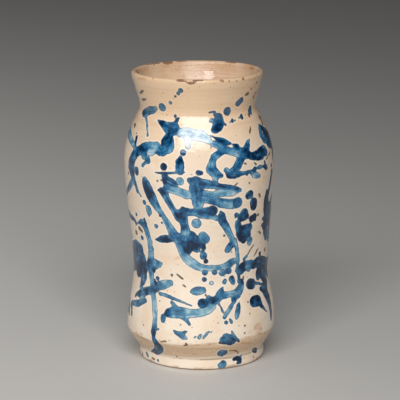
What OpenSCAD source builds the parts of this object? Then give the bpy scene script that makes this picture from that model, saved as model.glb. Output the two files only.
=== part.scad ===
// Albarello: a waisted earthenware pharmacy jar with a tin glaze and cobalt splashes.
// A thrown clay body carries a glaze coat outside, a glaze lining inside and brushed splashes.
// Sizes are in millimetres. The jar stands on Z = 0, its axis is Z and its front faces -Y.

/* [Foot] */
// Height of the straight foot
foot_h = 9; // [6:0.5:14]
// Rounding of the foot's lower edge
foot_edge_r = 1.5; // [0.5:0.1:2.5]
// Bare clay left above the rounded edge, up to the glaze
bare_h = 0.5; // [0.2:0.1:3]
// Width of the ring that the jar stands on
foot_ring_w = 10; // [6:0.5:18]
// Depth of the turned hollow under the foot
recess_h = 2.5; // [1:0.1:5]
// Thickness of the clay floor
floor_t = 8; // [5:0.5:13]

/* [Heel] */
// Fullest diameter of the heel
heel_d = 129.6; // [118:0.2:146]
// Height from the heel's edge to its fullest diameter
heel_h = 6.5; // [4:0.5:12]
// Depth of the heel's edge, where the bevel meets the wall, in from the fullest heel
heel_edge_in = 1.5; // [0.5:0.1:4]
// Height of the turned bevel between the foot and the heel's edge
bevel_h = 13.5; // [9:0.5:20]
// Depth of the bevel from the heel's edge in to the straight foot
bevel_in = 9.3; // [5:0.1:14]

/* [Wall] */
// Thickness of the clay wall, measured level
wall_t = 6; // [4:0.25:8]
// Height from the heel's fullest diameter to the waist
waist_h = 50; // [35:1:80]
// Diameter of the waist
waist_d = 116.8; // [100:0.2:126]
// Height from the waist to the fullest shoulder
shoulder_h = 94; // [60:1:130]
// Fullest diameter of the shoulder
shoulder_d = 128.4; // [118:0.2:140]

/* [Neck and rim] */
// Height from the fullest shoulder down its slope to the neck joint
fall_h = 42.5; // [30:0.5:60]
// Diameter at the neck joint, where the shoulder's slope ends
neck_joint_d = 102; // [98:0.2:110]
// Fall of the shoulder at the neck joint, in mm of radius per mm of height
shoulder_fall = 0.55; // [0.3:0.01:0.8]
// Height of the bend from the shoulder into the neck
neck_bend_h = 7.5; // [5:0.5:14]
// Diameter of the neck above the bend
neck_d = 99.4; // [92:0.2:101]
// Opening of the neck above the bend, in mm of radius per mm of height
neck_rise = 0.22; // [0.05:0.01:0.4]
// Height from the neck to the centre of the lip's rounding
flare_h = 24.5; // [16:0.5:40]
// Opening of the rim below the lip, in mm of radius per mm of height
rim_flare = 0.29; // [0.1:0.01:0.5]
// Diameter of the rim
rim_d = 114; // [106:0.5:124]
// Thickness of the rounded lip, glaze included
lip_t = 5; // [4:0.25:8]

/* [Glaze and splashes] */
// Thickness of the glaze, measured level
glaze_t = 0.5; // [0.2:0.05:1]
// Width of a full brush stroke
brush_w = 9; // [5:0.25:10]
// Thickness of a splash at its middle
splash_t = 0.25; // [0.1:0.05:0.6]
// Clearance between a splash and the glaze under it
splash_gap = 0.15; // [0.15:0.05:0.4]

/* [Hidden] */
$fn = 96;

CLAY = "#c79f78";
GLAZE = "#ead8c1";
LINING = "#dcc3ab";
COBALT = "#1f5d8f";

// Points computed along each span of the outline, round each arc and between two stroke points
span_steps = 10;
arc_steps = 6;
stroke_steps = 2;
dab_sides = 10;

heel_edge_r = heel_d / 2 - heel_edge_in;
foot_r = heel_edge_r - bevel_in;
recess_r = foot_r - foot_ring_w;
hem_z = foot_edge_r + bare_h;
heel_edge_z = foot_h + bevel_h;
heel_z = heel_edge_z + heel_h;
waist_z = heel_z + waist_h;
shoulder_z = waist_z + shoulder_h;
joint_z = shoulder_z + fall_h;
neck_z = joint_z + neck_bend_h;
lip_r = lip_t / 2;
lip_z = neck_z + flare_h;
overall_h = lip_z + lip_r;
lip_centre_r = rim_d / 2 - lip_r;
rim_angle = atan(rim_flare);
bevel_slope = bevel_in / bevel_h;
wall_all = wall_t + 2 * glaze_t;
floor_z = recess_h + floor_t + glaze_t;
corner_r = heel_z - floor_z;
corner_centre_r = heel_d / 2 - wall_all - corner_r;

// A point on a circle round the lip's centre, as [radius, height]
function lip_point(radius, angle) =
    [lip_centre_r + radius * cos(angle), lip_z + radius * sin(angle)];

// The outline runs through stations of [height, radius, slope], here inset from the finished face
function outer_stations(inset) =
    let (top = lip_point(lip_r - inset, -rim_angle))
    [
        [heel_edge_z, heel_edge_r - inset, bevel_slope],
        [heel_z, heel_d / 2 - inset, 0],
        [waist_z, waist_d / 2 - inset, 0],
        [shoulder_z, shoulder_d / 2 - inset, 0],
        [joint_z, neck_joint_d / 2 - inset, -shoulder_fall],
        [neck_z, neck_d / 2 - inset, neck_rise],
        [top[1], top[0], rim_flare],
    ];

// The inside follows the same stations one wall thickness in, here grown towards the clay
function inner_stations(grow) =
    let (inset = wall_all - grow, top = lip_point(lip_r - grow, 180 - rim_angle))
    [
        [heel_z, heel_d / 2 - inset, 0],
        [waist_z, waist_d / 2 - inset, 0],
        [shoulder_z, shoulder_d / 2 - inset, 0],
        [joint_z, neck_joint_d / 2 - inset, -shoulder_fall],
        [neck_z, neck_d / 2 - inset, neck_rise],
        [top[1], top[0], rim_flare],
    ];

// Radius on the smooth curve between two stations, at the share t of the height between them
function span_r(low, high, t) =
    let (h = high[0] - low[0])
    (2 * t ^ 3 - 3 * t ^ 2 + 1) * low[1] + (t ^ 3 - 2 * t ^ 2 + t) * h * low[2]
    + (3 * t ^ 2 - 2 * t ^ 3) * high[1] + (t ^ 3 - t ^ 2) * h * high[2];

function span_point(low, high, t) = [span_r(low, high, t), low[0] + t * (high[0] - low[0])];

// All points of a curve through its stations, from the bottom up
function curve(stations) =
    let (last = len(stations) - 1)
    [
        for (i = [0:last - 1], k = [0:span_steps - 1])
            span_point(stations[i], stations[i + 1], k / span_steps),
        [stations[last][1], stations[last][0]],
    ];

function reversed(points) = [for (i = [len(points) - 1:-1:0]) points[i]];

// An arc of the lip from one angle to another, without the points named by skip_first and skip_last
function lip_arc(radius, start, end, skip_first, skip_last) =
    [
        for (k = [(skip_first ? 1 : 0):arc_steps - (skip_last ? 1 : 0)])
            lip_point(radius, start + (end - start) * k / arc_steps)
    ];

// The rounded corner between the wall and the floor, from just below the heel down to the floor
function corner_arc(radius) =
    [
        for (k = [1:arc_steps])
            let (angle = -90 * k / arc_steps)
            [corner_centre_r + radius * cos(angle), heel_z + radius * sin(angle)]
    ];

function foot_edge_arc() =
    let (centre_r = foot_r - glaze_t - foot_edge_r)
    [
        for (k = [0:arc_steps])
            let (angle = -90 + 90 * k / arc_steps)
            [centre_r + foot_edge_r * cos(angle), foot_edge_r + foot_edge_r * sin(angle)]
    ];

// Radius of the finished outside at any height between the foot and the lip
FACE = outer_stations(0);
function face_r(z) =
    z <= foot_h ? foot_r
    : z <= heel_edge_z ? foot_r + (z - foot_h) * bevel_slope
    : let (i = max([for (k = [0:len(FACE) - 2]) if (FACE[k][0] <= z) k]))
      span_r(FACE[i], FACE[i + 1], (z - FACE[i][0]) / (FACE[i + 1][0] - FACE[i][0]));

// Brush strokes: each point is [angle from the front in degrees, height, half width],
// the height in percent of the jar's height and the half width in percent of the brush's width
STROKES = [
    // Neck and left shoulder
    [[-68, 87, 20], [-60, 87.6, 31], [-50, 88.4, 28], [-44, 89.2, 17]],
    [[-39, 85.3, 9], [-33, 84.4, 24], [-26, 83.4, 44], [-22, 83, 49]],
    [[-25, 78.8, 53], [-29, 77, 53], [-38, 77, 36], [-47, 76, 44], [-55, 74.4, 50],
        [-60, 72, 50], [-63.5, 69.2, 44], [-62.5, 66.8, 33], [-59.5, 64, 20], [-55.5, 61.2, 13]],
    [[-41.5, 72.4, 29], [-47, 70.4, 11]],
    [[-13, 75.2, 13], [-14.5, 73, 29], [-15, 71, 36]],
    // Right shoulder
    [[19.5, 86.8, 38], [18.5, 85, 51], [15.5, 83.3, 33]],
    [[11, 81.4, 9], [15, 80.4, 17], [20, 79.4, 24], [25, 78.8, 20]],
    [[23, 75.8, 24], [17, 75.8, 29], [12, 74.4, 33], [10, 72, 40], [10.5, 70.2, 44],
        [14, 68.8, 29], [17.5, 68.4, 18]],
    [[46, 79, 9], [42, 77.4, 27], [37, 75, 47], [32.5, 72.6, 42], [29, 70.4, 40],
        [25.5, 69, 31]],
    [[47.5, 73.5, 33], [53, 73.7, 53], [60, 74.4, 49], [64, 73.8, 33]],
    [[32, 68.3, 17], [38, 68.4, 17], [46, 68.9, 22], [54, 69.3, 20], [61, 68.6, 26]],
    [[43, 66.8, 11], [47.5, 66.4, 27], [52, 66.1, 16]],
    [[68, 80.4, 33], [72, 78.6, 50], [76, 76.8, 50]],
    // Front, between the shoulder and the waist
    [[-27.5, 68.4, 22], [-23.5, 66.8, 51], [-18, 65.4, 42], [-12, 63.4, 33]],
    [[-7, 66.8, 33], [-2, 66, 56], [5, 65.4, 38], [13, 64.9, 24], [22, 64, 24],
        [30, 62.9, 24], [33, 62.6, 13]],
    [[-1.5, 60.8, 56], [-1.5, 59.2, 49]],
    [[8.5, 60, 22], [14, 59, 33], [22, 58.4, 36], [29, 58.4, 49]],
    [[-31.5, 63, 17], [-27.5, 61.6, 33], [-23.5, 58.8, 30], [-21, 56.8, 22]],
    [[-5, 56.1, 27], [2, 56.1, 29], [8.5, 56.3, 42]],
    [[-14, 55, 53], [-13, 52.4, 48], [-11.5, 50, 44], [-9, 46.8, 61], [-7.5, 44.4, 56]],
    [[-46, 65.2, 38], [-43, 62.8, 51], [-38, 59.8, 50], [-33.5, 56.8, 44], [-29.5, 54, 36],
        [-25.5, 51, 33], [-21.5, 47.8, 37], [-18.5, 44.6, 29], [-14.5, 41.2, 31],
        [-9, 38.4, 33], [-1.5, 36.8, 29], [6, 36.3, 24], [14, 36.4, 24], [20, 36.9, 27],
        [25, 37.6, 27]],
    [[17, 54.8, 31], [18.5, 52.4, 36], [22.5, 50, 29], [26, 47.6, 27], [28, 45.6, 24]],
    [[31.5, 50.8, 31], [33.5, 48.4, 42], [38, 47.4, 56]],
    [[30, 43.4, 18], [31.5, 40.8, 20], [32, 38.8, 18]],
    [[66, 60, 18], [63, 56.8, 22], [62.5, 53.6, 27], [66, 50.8, 44], [70, 48.4, 49]],
    // Left, stem and cross stroke
    [[-53, 50.2, 24], [-48.5, 49, 31], [-46, 46, 27], [-45, 42.8, 27], [-45, 39.2, 29],
        [-46, 35.8, 47], [-45.5, 31.6, 24]],
    [[-66, 24, 20], [-58, 25.2, 33], [-50, 26.4, 38], [-43, 27.6, 38], [-37.5, 28.6, 29],
        [-31, 29.9, 38], [-26.5, 30.7, 24]],
    [[-41.8, 24.2, 20], [-40, 21.6, 22], [-38.3, 18.4, 22], [-38.3, 15.2, 20], [-38.6, 13.8, 22]],
    [[-36, 26.4, 16], [-26, 25.7, 16], [-17, 24.8, 12], [-8.5, 23.7, 8]],
    [[-51, 22.6, 16], [-59, 21.4, 24], [-67, 20.4, 20], [-74, 19.8, 11]],
    [[-59, 39.2, 51], [-67, 39, 53], [-76, 38.4, 51]],
    [[-58, 34.4, 51], [-66, 33.8, 53], [-76, 33, 51]],
    [[-38.5, 45.2, 13], [-33, 45.9, 28], [-28.8, 46.3, 16]],
    [[-43.2, 55.3, 29], [-43.3, 53.8, 13]],
    // Front, below the waist
    [[34, 32.2, 18], [35, 30.2, 31], [32.5, 28, 44], [29, 26.1, 31]],
    [[22, 26.9, 24], [17, 26.4, 31], [10, 25.1, 27], [4.5, 24.5, 27], [0.5, 24.4, 38]],
    [[10, 22.8, 16], [4, 21.4, 29], [-4, 20.9, 33], [-13, 20.8, 44], [-21, 20.8, 49], [-26, 20.4, 33]],
    [[-31.2, 19, 27], [-31.2, 17.8, 24]],
    [[-8.5, 28.1, 9], [-4.5, 28.5, 31], [1, 28.8, 24]],
    [[-20.5, 14.7, 13], [-16, 14, 22], [-11.5, 13.3, 16]],
    [[16.5, 13.6, 27], [20.5, 13.7, 36], [25, 13.5, 22]],
    [[29.5, 23, 11], [29, 21, 20], [28.5, 19, 13]],
    [[35.5, 34.8, 33], [40, 35.6, 44], [46, 36, 38], [52, 35.4, 42], [59, 35.6, 53], [66, 35.2, 53]],
    [[45, 29.2, 40], [49.5, 29.1, 38], [56, 28.6, 13], [61, 28.2, 9]],
    [[45.5, 23.5, 33], [50, 23, 49], [54, 21.6, 27], [58, 19.8, 13], [63, 17.8, 9]],
    [[63, 25.8, 20], [66, 23.8, 29], [67, 20.8, 20], [67.5, 17.6, 22]],
    // Right side and back, upper half
    [[95, 82, 17], [103, 79.2, 33], [112, 76, 44], [120, 72, 47], [127, 67.6, 40],
        [132, 62.8, 36], [135, 58.8, 24], [137, 55.6, 11]],
    [[128, 80, 22], [138, 81.2, 38], [149, 81.2, 44], [160, 79.6, 38], [169, 77.2, 27]],
    [[152, 74.4, 31], [160, 72.4, 38], [165, 69.2, 42], [163, 66, 36], [156, 64, 29],
        [149, 65.2, 22]],
    [[180, 82.8, 16], [186, 79.6, 31], [193, 76, 42], [202, 72.8, 47], [213, 71.2, 42],
        [224, 71.6, 29], [232, 73.2, 13]],
    [[206, 83.2, 27], [215, 82, 38], [225, 81.2, 33], [234, 82, 18]],
    [[242, 79.6, 33], [250, 77.2, 49], [257, 73.6, 44], [260, 69.6, 33], [259, 65.6, 20]],
    [[92, 72.8, 33], [97, 69.6, 44], [96, 66, 44], [91, 62.8, 27]],
    [[143, 60, 22], [150, 57.2, 38], [157, 53.6, 44], [162, 49.6, 40], [164, 45.2, 33],
        [161, 41.2, 29], [154, 38, 24], [146, 36.4, 16]],
    [[176, 59.2, 33], [185, 56.8, 47], [195, 55.6, 49], [205, 56.4, 38], [212, 58.4, 20]],
    [[232, 64, 22], [230, 60, 38], [225, 55.6, 44], [219, 51.2, 42], [214, 46.8, 33],
        [212, 42.4, 27], [214, 38.4, 20]],
    [[262, 60, 16], [258, 56, 29], [252, 51.2, 36], [247, 46.4, 33], [246, 41.6, 38],
        [250, 37.6, 44], [258, 34.8, 42], [265, 33.2, 31]],
    [[88, 56, 22], [95, 53.2, 38], [104, 51.2, 49], [113, 50.8, 40], [120, 52.4, 22]],
    // Right side and back, lower half
    [[85, 44, 31], [93, 42, 47], [102, 41.2, 49], [111, 39.6, 44], [118, 36.8, 33], [122, 33.6, 18]],
    [[176, 48, 22], [183, 45.2, 40], [189, 41.6, 44], [192, 37.6, 40], [190, 33.6, 33], [184, 30.8, 22]],
    [[228, 36.8, 22], [222, 33.6, 38], [213, 31.2, 44], [203, 29.6, 38], [196, 27.6, 22]],
    [[130, 31.2, 22], [139, 29.2, 38], [149, 27.6, 44], [160, 26.8, 38], [170, 27.6, 22]],
    [[90, 32, 44], [97, 29.2, 49], [101, 25.6, 40], [102, 21.6, 29], [100, 18, 18]],
    [[115, 26.4, 33], [122, 24, 40], [131, 22.4, 36], [140, 21.6, 20]],
    [[160, 20, 36], [169, 18.4, 40], [179, 18, 33], [187, 18.8, 18]],
    [[205, 23.2, 33], [214, 21.2, 42], [224, 20.4, 38], [233, 21.2, 22]],
    [[240, 28.8, 40], [248, 26.4, 44], [254, 22.8, 36], [257, 18.8, 24], [258, 15.6, 13]],
    [[118, 16, 31], [126, 14.8, 33], [134, 14.4, 18]],
];

// Round dabs: each is [angle from the front in degrees, height, radius], in the same measures
DABS = [
    // Neck
    [-35.8, 89.9, 38], [-14.8, 96.2, 20], [28.9, 88.8, 40], [42.9, 91.9, 31],
    [51.8, 93.7, 24], [95, 90.4, 33], [140, 88.8, 38], [165, 92.4, 29], [205, 90.4, 36],
    [238, 93.2, 27], [262, 88.8, 33],
    // Front
    [-27, 71, 33], [0.5, 69.6, 22], [-47.5, 57.7, 20], [-36.7, 50, 23], [-2.6, 52.2, 44],
    [4.2, 47.2, 44], [2.5, 41, 27], [4.5, 38.7, 20], [41.3, 60.5, 43], [46.3, 57, 47],
    [35.5, 54.2, 47], [46.5, 52.1, 39], [44.5, 44, 38], [3, 34.3, 20], [11, 34.4, 20],
    [18, 34.1, 21], [2.8, 32.3, 18], [20, 31.2, 18], [26.8, 31.5, 20], [19.5, 17.7, 19],
    // Right side and back
    [176, 67.2, 44], [187, 64, 33], [200, 65.2, 24], [244, 60.8, 38], [241, 56, 27],
    [110, 59.2, 33], [132, 47.2, 36], [126, 43.2, 24], [142, 44, 27], [175, 37.2, 27],
    [230, 44.8, 33], [197, 15.2, 31], [236, 14.8, 27], [150, 33.6, 22], [224, 26.4, 24],
];

// A splash point with its height and width taken to this jar and this brush
function fitted(p) = [p[0], p[1] / 100 * overall_h, p[2] / 100 * brush_w];

// The place on the jar at an angle and a height, standing proud of the glaze by lift
function place(angle, z, lift) =
    let (r = face_r(z) + lift) [r * sin(angle), -r * cos(angle), z];

// The angle and height reached from a stroke point by going along [round, up], both in mm
function moved(p, along) = [p[0] + along[0] / face_r(p[1]) * 180 / PI, p[1] + along[1]];

function clamped(list, i) = list[max(0, min(len(list) - 1, i))];

// A smooth path through the stroke's own points
function between(a, b, c, d, t) =
    (2 * b + (c - a) * t + (2 * a - 5 * b + 4 * c - d) * t ^ 2
        + (3 * b - a - 3 * c + d) * t ^ 3) / 2;
function stroke_path(s) =
    let (last = len(s) - 1)
    [
        for (i = [0:last - 1], k = [0:stroke_steps - 1])
            between(clamped(s, i - 1), s[i], s[i + 1], clamped(s, i + 2), k / stroke_steps),
        s[last],
    ];

// The direction of the path at its point i, as a unit step of [round, up]
function heading(path, i) =
    let (
        a = clamped(path, i - 1), b = clamped(path, i + 1),
        step = [(b[0] - a[0]) * PI / 180 * face_r(path[i][1]), b[1] - a[1]]
    )
    step / norm(step);

// One cross section: left edge, crown, right edge and the middle of the underside
function section(p, ahead, half_w) =
    let (
        side = [-ahead[1], ahead[0]] * half_w,
        left = moved(p, side),
        right = moved(p, -side)
    )
    [
        place(left[0], left[1], splash_gap),
        place(p[0], p[1], splash_gap + splash_t),
        place(right[0], right[1], splash_gap),
        place(p[0], p[1], splash_gap),
    ];

// A stroke is a row of cross sections with a rounded end before and behind them.
// Crown and underside are cut along the same diagonals, so that they never cross.
module brush_stroke(points) {
    path = stroke_path([for (p = points) fitted(p)]);
    last = len(path) - 1;
    start = heading(path, 0);
    end = heading(path, last);
    start_w = path[0][2];
    end_w = path[last][2];
    round_end = sin(45);
    sections = [
        section(moved(path[0], -start * start_w * round_end), start, start_w * round_end),
        for (i = [0:last]) section(path[i], heading(path, i), path[i][2]),
        section(moved(path[last], end * end_w * round_end), end, end_w * round_end),
    ];
    tip = moved(path[0], -start * start_w);
    tail = moved(path[last], end * end_w);
    count = len(sections);
    tip_index = 4 * count;
    tail_index = tip_index + 1;
    polyhedron(
        points = [
            for (s = sections, p = s) p,
            place(tip[0], tip[1], splash_gap),
            place(tail[0], tail[1], splash_gap),
        ],
        faces = [
            for (i = [0:count - 2], j = [0:3])
                let (a = 4 * i + j, b = 4 * i + (j + 1) % 4)
                each j < 2 ? [[a, b + 4, b], [a, a + 4, b + 4]] : [[a, a + 4, b], [b, a + 4, b + 4]],
            for (j = [0:3]) [tip_index, j, (j + 1) % 4],
            for (j = [0:3]) [tail_index, 4 * (count - 1) + (j + 1) % 4, 4 * (count - 1) + j],
        ]
    );
}

// A dab is a low dome over a thin disc that follows the wall
module dab(d) {
    p = fitted(d);
    rim = [
        for (k = [0:dab_sides - 1])
            moved(p, p[2] * [cos(360 * k / dab_sides), sin(360 * k / dab_sides)])
    ];
    crown_index = dab_sides;
    under_index = dab_sides + 1;
    polyhedron(
        points = [
            for (q = rim) place(q[0], q[1], splash_gap),
            place(p[0], p[1], splash_gap + splash_t),
            place(p[0], p[1], splash_gap),
        ],
        faces = [
            for (k = [0:dab_sides - 1]) [crown_index, (k + 1) % dab_sides, k],
            for (k = [0:dab_sides - 1]) [under_index, k, (k + 1) % dab_sides],
        ]
    );
}

// The thrown body: wall, floor, turned foot and rounded lip in one piece of fired clay
module clay_body() {
    color(CLAY) rotate_extrude() polygon(concat(
        [[0, recess_h], [recess_r, recess_h], [recess_r, 0]],
        foot_edge_arc(),
        [[foot_r - glaze_t, foot_h]],
        curve(outer_stations(glaze_t)),
        lip_arc(lip_r - glaze_t, -rim_angle, 90, true, false),
        lip_arc(lip_r - glaze_t, 90, 180 - rim_angle, true, true),
        reversed(curve(inner_stations(glaze_t))),
        corner_arc(corner_r + glaze_t),
        [[0, floor_z - glaze_t]]
    ));
}

// The tin-glaze coat, from the crest of the lip down to the bare edge of the foot
module outer_glaze() {
    color(GLAZE) rotate_extrude() polygon(concat(
        [[foot_r, hem_z], [foot_r, foot_h]],
        curve(outer_stations(0)),
        lip_arc(lip_r, -rim_angle, 90, true, false),
        lip_arc(lip_r - glaze_t, 90, -rim_angle, false, true),
        reversed(curve(outer_stations(glaze_t))),
        [[foot_r - glaze_t, foot_h], [foot_r - glaze_t, hem_z]]
    ));
}

// The tin-glaze lining, from the crest of the lip down the wall and over the floor
module inner_glaze() {
    color(LINING) rotate_extrude() polygon(concat(
        lip_arc(lip_r, 90, 180 - rim_angle, false, true),
        reversed(curve(inner_stations(0))),
        corner_arc(corner_r),
        [[0, floor_z], [0, floor_z - glaze_t]],
        reversed(corner_arc(corner_r + glaze_t)),
        curve(inner_stations(glaze_t)),
        lip_arc(lip_r - glaze_t, 180 - rim_angle, 90, true, false)
    ));
}

// The cobalt colour, brushed and splashed over the coat: separate strokes and round dabs
module cobalt_splashes() {
    color(COBALT) {
        for (s = STROKES) brush_stroke(s);
        for (d = DABS) dab(d);
    }
}

clay_body();
outer_glaze();
inner_glaze();
cobalt_splashes();
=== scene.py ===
import math

import bpy
import numpy as np
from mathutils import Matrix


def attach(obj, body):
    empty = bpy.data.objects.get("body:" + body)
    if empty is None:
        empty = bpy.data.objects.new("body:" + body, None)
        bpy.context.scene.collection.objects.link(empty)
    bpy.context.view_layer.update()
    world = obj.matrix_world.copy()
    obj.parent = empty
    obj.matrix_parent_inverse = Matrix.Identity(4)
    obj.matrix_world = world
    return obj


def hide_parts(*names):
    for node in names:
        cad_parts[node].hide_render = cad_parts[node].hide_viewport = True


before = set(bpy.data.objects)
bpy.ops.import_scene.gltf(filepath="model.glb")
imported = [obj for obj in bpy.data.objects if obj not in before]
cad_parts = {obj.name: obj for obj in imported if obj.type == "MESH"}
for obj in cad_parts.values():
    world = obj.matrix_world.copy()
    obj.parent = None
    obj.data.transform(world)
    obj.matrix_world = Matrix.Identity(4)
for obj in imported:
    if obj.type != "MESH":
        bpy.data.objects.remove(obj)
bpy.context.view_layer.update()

# The clay body.
# The jar itself, of buff earthenware: thrown on the wheel in one piece, then turned upside down
# to cut its foot, the hollow under it and the bevel above it. It shows bare on the standing ring.

# The finished outside, in mm: a straight foot, a cone for the bevel, then a smooth curve through
# stations of height, radius and slope up to the rounded lip
FOOT_R, FOOT_Z = 54.0, 9.0
HEEL_R, HEEL_Z = 63.3, 22.5
OUTSIDE = [(HEEL_Z, HEEL_R, 0.689), (29.0, 64.8, 0.0), (79.0, 58.4, 0.0), (173.0, 64.2, 0.0),
           (215.5, 51.0, -0.55), (223.0, 49.7, 0.22), (246.8, 56.9, 0.29)]
# The inside from the floor's rounded corner: one wall further in at the same stations as far as the
# neck, then two stations of its own, because the rim thins towards the lip
INSIDE = [(29.0, 57.8, 0.0), (79.0, 51.4, 0.0), (173.0, 57.2, 0.0),
          (215.5, 44.0, -0.55), (223.0, 42.7, 0.22), (241.5, 50.3, 0.36), (247.9, 52.03, 0.17)]
# The lip and the floor's corner are arcs, by the radius and height of their centres and their own
# radius. The lip runs between two angles, in degrees
LIP = (54.5, 247.5, 2.5)
LIP_OUT, LIP_IN = -16, 170.5
CORNER = (39.8, 29.0, 18.0)
FLOOR_Z = CORNER[1] - CORNER[2]
GLAZE = 0.5
MM = 0.001
WELD = 0.01
SHARP = math.radians(40)


def curve_radius(stations, height):
    """Radius of the smooth curve through the stations, at a height."""
    last = len(stations) - 2
    i = max([k for k in range(last + 1) if stations[k][0] <= height] or [0])
    (z0, r0, s0), (z1, r1, s1) = stations[i], stations[i + 1]
    h = z1 - z0
    t = min(max((height - z0) / h, 0.0), 1.0)
    return ((2 * t**3 - 3 * t**2 + 1) * r0 + (t**3 - 2 * t**2 + t) * h * s0
            + (3 * t**2 - 2 * t**3) * r1 + (t**3 - t**2) * h * s1)


def curve(stations, inset, count):
    """Points of a curve, moved in towards the axis by inset."""
    low, high = stations[0][0], stations[-1][0]
    heights = [low + (high - low) * k / count for k in range(count + 1)]
    return [(curve_radius(stations, z) - inset, z) for z in heights]


def arc(centre, radius, start, end, count):
    """Points of an arc in the outline, between two angles in degrees."""
    angles = [math.radians(start + (end - start) * k / count) for k in range(count + 1)]
    return [(centre[0] + radius * math.cos(a), centre[1] + radius * math.sin(a)) for a in angles]


def evenly(points, step):
    """The same outline without the points that lie less than a step from the one before."""
    out = [points[0]]
    for r, z in points[1:]:
        if math.hypot(r - out[-1][0], z - out[-1][1]) >= step:
            out.append((r, z))
    if out[-1] != points[-1]:
        out.append(points[-1])
    return out


def thrown(name, outline, turns):
    """Draws the outline on the front side point by point, then spins it round the jar's axis."""
    bpy.ops.object.select_all(action="DESELECT")
    bpy.ops.mesh.primitive_plane_add(size=0.01, location=(0, 0, 0))
    piece = bpy.context.object
    piece.name = name
    bpy.context.tool_settings.mesh_select_mode = (True, False, False)
    bpy.ops.object.mode_set(mode="EDIT")
    bpy.ops.mesh.select_all(action="SELECT")
    bpy.ops.mesh.merge(type="CENTER")
    bpy.ops.transform.translate(value=(0, -outline[0][0] * MM, outline[0][1] * MM))
    for (r0, z0), (r1, z1) in zip(outline, outline[1:]):
        bpy.ops.mesh.extrude_region_move(
            TRANSFORM_OT_translate={"value": (0, (r0 - r1) * MM, (z1 - z0) * MM)})
    bpy.ops.mesh.select_all(action="SELECT")
    bpy.ops.mesh.spin(steps=turns, angle=math.tau, center=(0, 0, 0), axis=(0, 0, 1))
    bpy.ops.mesh.select_all(action="SELECT")
    bpy.ops.mesh.remove_doubles(threshold=WELD * MM)
    bpy.ops.mesh.normals_make_consistent(inside=False)
    bpy.ops.object.mode_set(mode="OBJECT")
    bpy.ops.object.shade_smooth_by_angle(angle=SHARP)
    return piece


# The jar was thrown a little out of true: its mouth stands left of its foot and dips to the left.
# The foot, heel and rim are also drawn out or in, here by height and then left and right, all in mm
LEAN = -4.6
DIP = -0.4
DRAWN = {0: (-1.3, 0.3), 25: (-0.4, -2.4), 250: (0.9, -0.9)}
# The cage that leans it: width and height in mm, and its levels, one every 25 mm
CAGE = (140.0, 250.0)
CAGE_LEVELS = 11
bpy.ops.object.select_all(action="DESELECT")
bpy.ops.object.add(type="LATTICE", location=(0, 0, CAGE[1] / 2 * MM))
cage = bpy.context.object
cage.name = "lean_cage"
cage.data.points_w = CAGE_LEVELS
cage.scale = (CAGE[0] * MM, CAGE[0] * MM, CAGE[1] * MM)
cage.data.interpolation_type_u = "KEY_LINEAR"
cage.data.interpolation_type_v = "KEY_LINEAR"
cage.data.interpolation_type_w = "KEY_LINEAR"
for point in cage.data.points:
    level = 0.5 + point.co.z
    left, right = DRAWN.get(round(level * CAGE[1]), (0.0, 0.0))
    point.co_deform.x += (LEAN * level + (right if point.co.x > 0 else left)) / CAGE[0]
    point.co_deform.z += DIP * level / CAGE[1] if point.co.x < 0 else 0.0


def lean(piece):
    """Leans a piece with the whole jar."""
    bpy.ops.object.select_all(action="DESELECT")
    piece.select_set(True)
    bpy.context.view_layer.objects.active = piece
    bpy.context.view_layer.update()
    bpy.ops.object.modifier_add(type="LATTICE")
    piece.modifiers[-1].object = cage
    bpy.ops.object.modifier_apply(modifier=piece.modifiers[-1].name)


def shade(code):
    """A colour from its six-figure code."""
    parts = [int(code[i:i + 2], 16) / 255 for i in (0, 2, 4)]
    return tuple(c / 12.92 if c <= 0.04045 else ((c + 0.055) / 1.055) ** 2.4 for c in parts) + (1.0,)


def feed(tree, socket, value):
    """Links a socket to another one, or sets it to a value."""
    if isinstance(value, bpy.types.NodeSocket):
        tree.links.new(value, socket)
    else:
        socket.default_value = value


def put(tree, kind, settings=None, **inputs):
    """A shader node with its settings, and with each input set to a value or linked to a socket."""
    node = tree.nodes.new("ShaderNode" + kind)
    for name, value in (settings or {}).items():
        setattr(node, name, value)
    for name, value in inputs.items():
        feed(tree, node.inputs[name.replace("_", " ")], value)
    return node


def blank_material(name):
    """A material with an empty node tree, that tree, and the place in the jar that its patterns read."""
    material = bpy.data.materials.new(name)
    material.use_nodes = True
    material.node_tree.nodes.clear()
    return material, material.node_tree, put(material.node_tree, "TexCoord").outputs["Object"]


def cover(piece, material, surface):
    """Ends a material in its surface and gives it to a piece."""
    put(material.node_tree, "OutputMaterial", None, Surface=surface.outputs[0])
    piece.data.materials.append(material)


def calc(tree, operation, a, b=0.0, c=0.0):
    """The result of a sum on one to three values."""
    node = put(tree, "Math", {"operation": operation})
    for socket, value in zip(node.inputs, (a, b, c)):
        feed(tree, socket, value)
    return node.outputs[0]


def times(tree, a, b):
    """Two values multiplied."""
    return calc(tree, "MULTIPLY", a, b)


def scaled(tree, value, by, plus):
    """A value multiplied by a second one, plus a third."""
    return calc(tree, "MULTIPLY_ADD", value, by, plus)


def ease(tree, value, low, high, start=0.0, end=1.0):
    """Takes a value from start to end, smoothly, as it goes from low to high."""
    return put(tree, "MapRange", {"interpolation_type": "SMOOTHSTEP"}, Value=value, From_Min=low,
               From_Max=high, To_Min=start, To_Max=end).outputs[0]


# The Mix node's sockets for colours, by number, since its other sockets have the same names
MIX_SHARE, MIX_UNDER, MIX_TOP, MIX_RESULT = 0, 6, 7, 2


def over(tree, share, under, top):
    """One colour laid over another by a share."""
    node = put(tree, "Mix", {"data_type": "RGBA"})
    for number, value in ((MIX_SHARE, share), (MIX_UNDER, under), (MIX_TOP, top)):
        feed(tree, node.inputs[number], value)
    return node.outputs[MIX_RESULT]


def cloud(tree, spot, scale, detail=3.0, roughness=0.55):
    """Soft random patches between 0 and 1."""
    return put(tree, "TexNoise", None, Vector=spot, Scale=scale, Detail=detail,
               Roughness=roughness).outputs[0]


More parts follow.
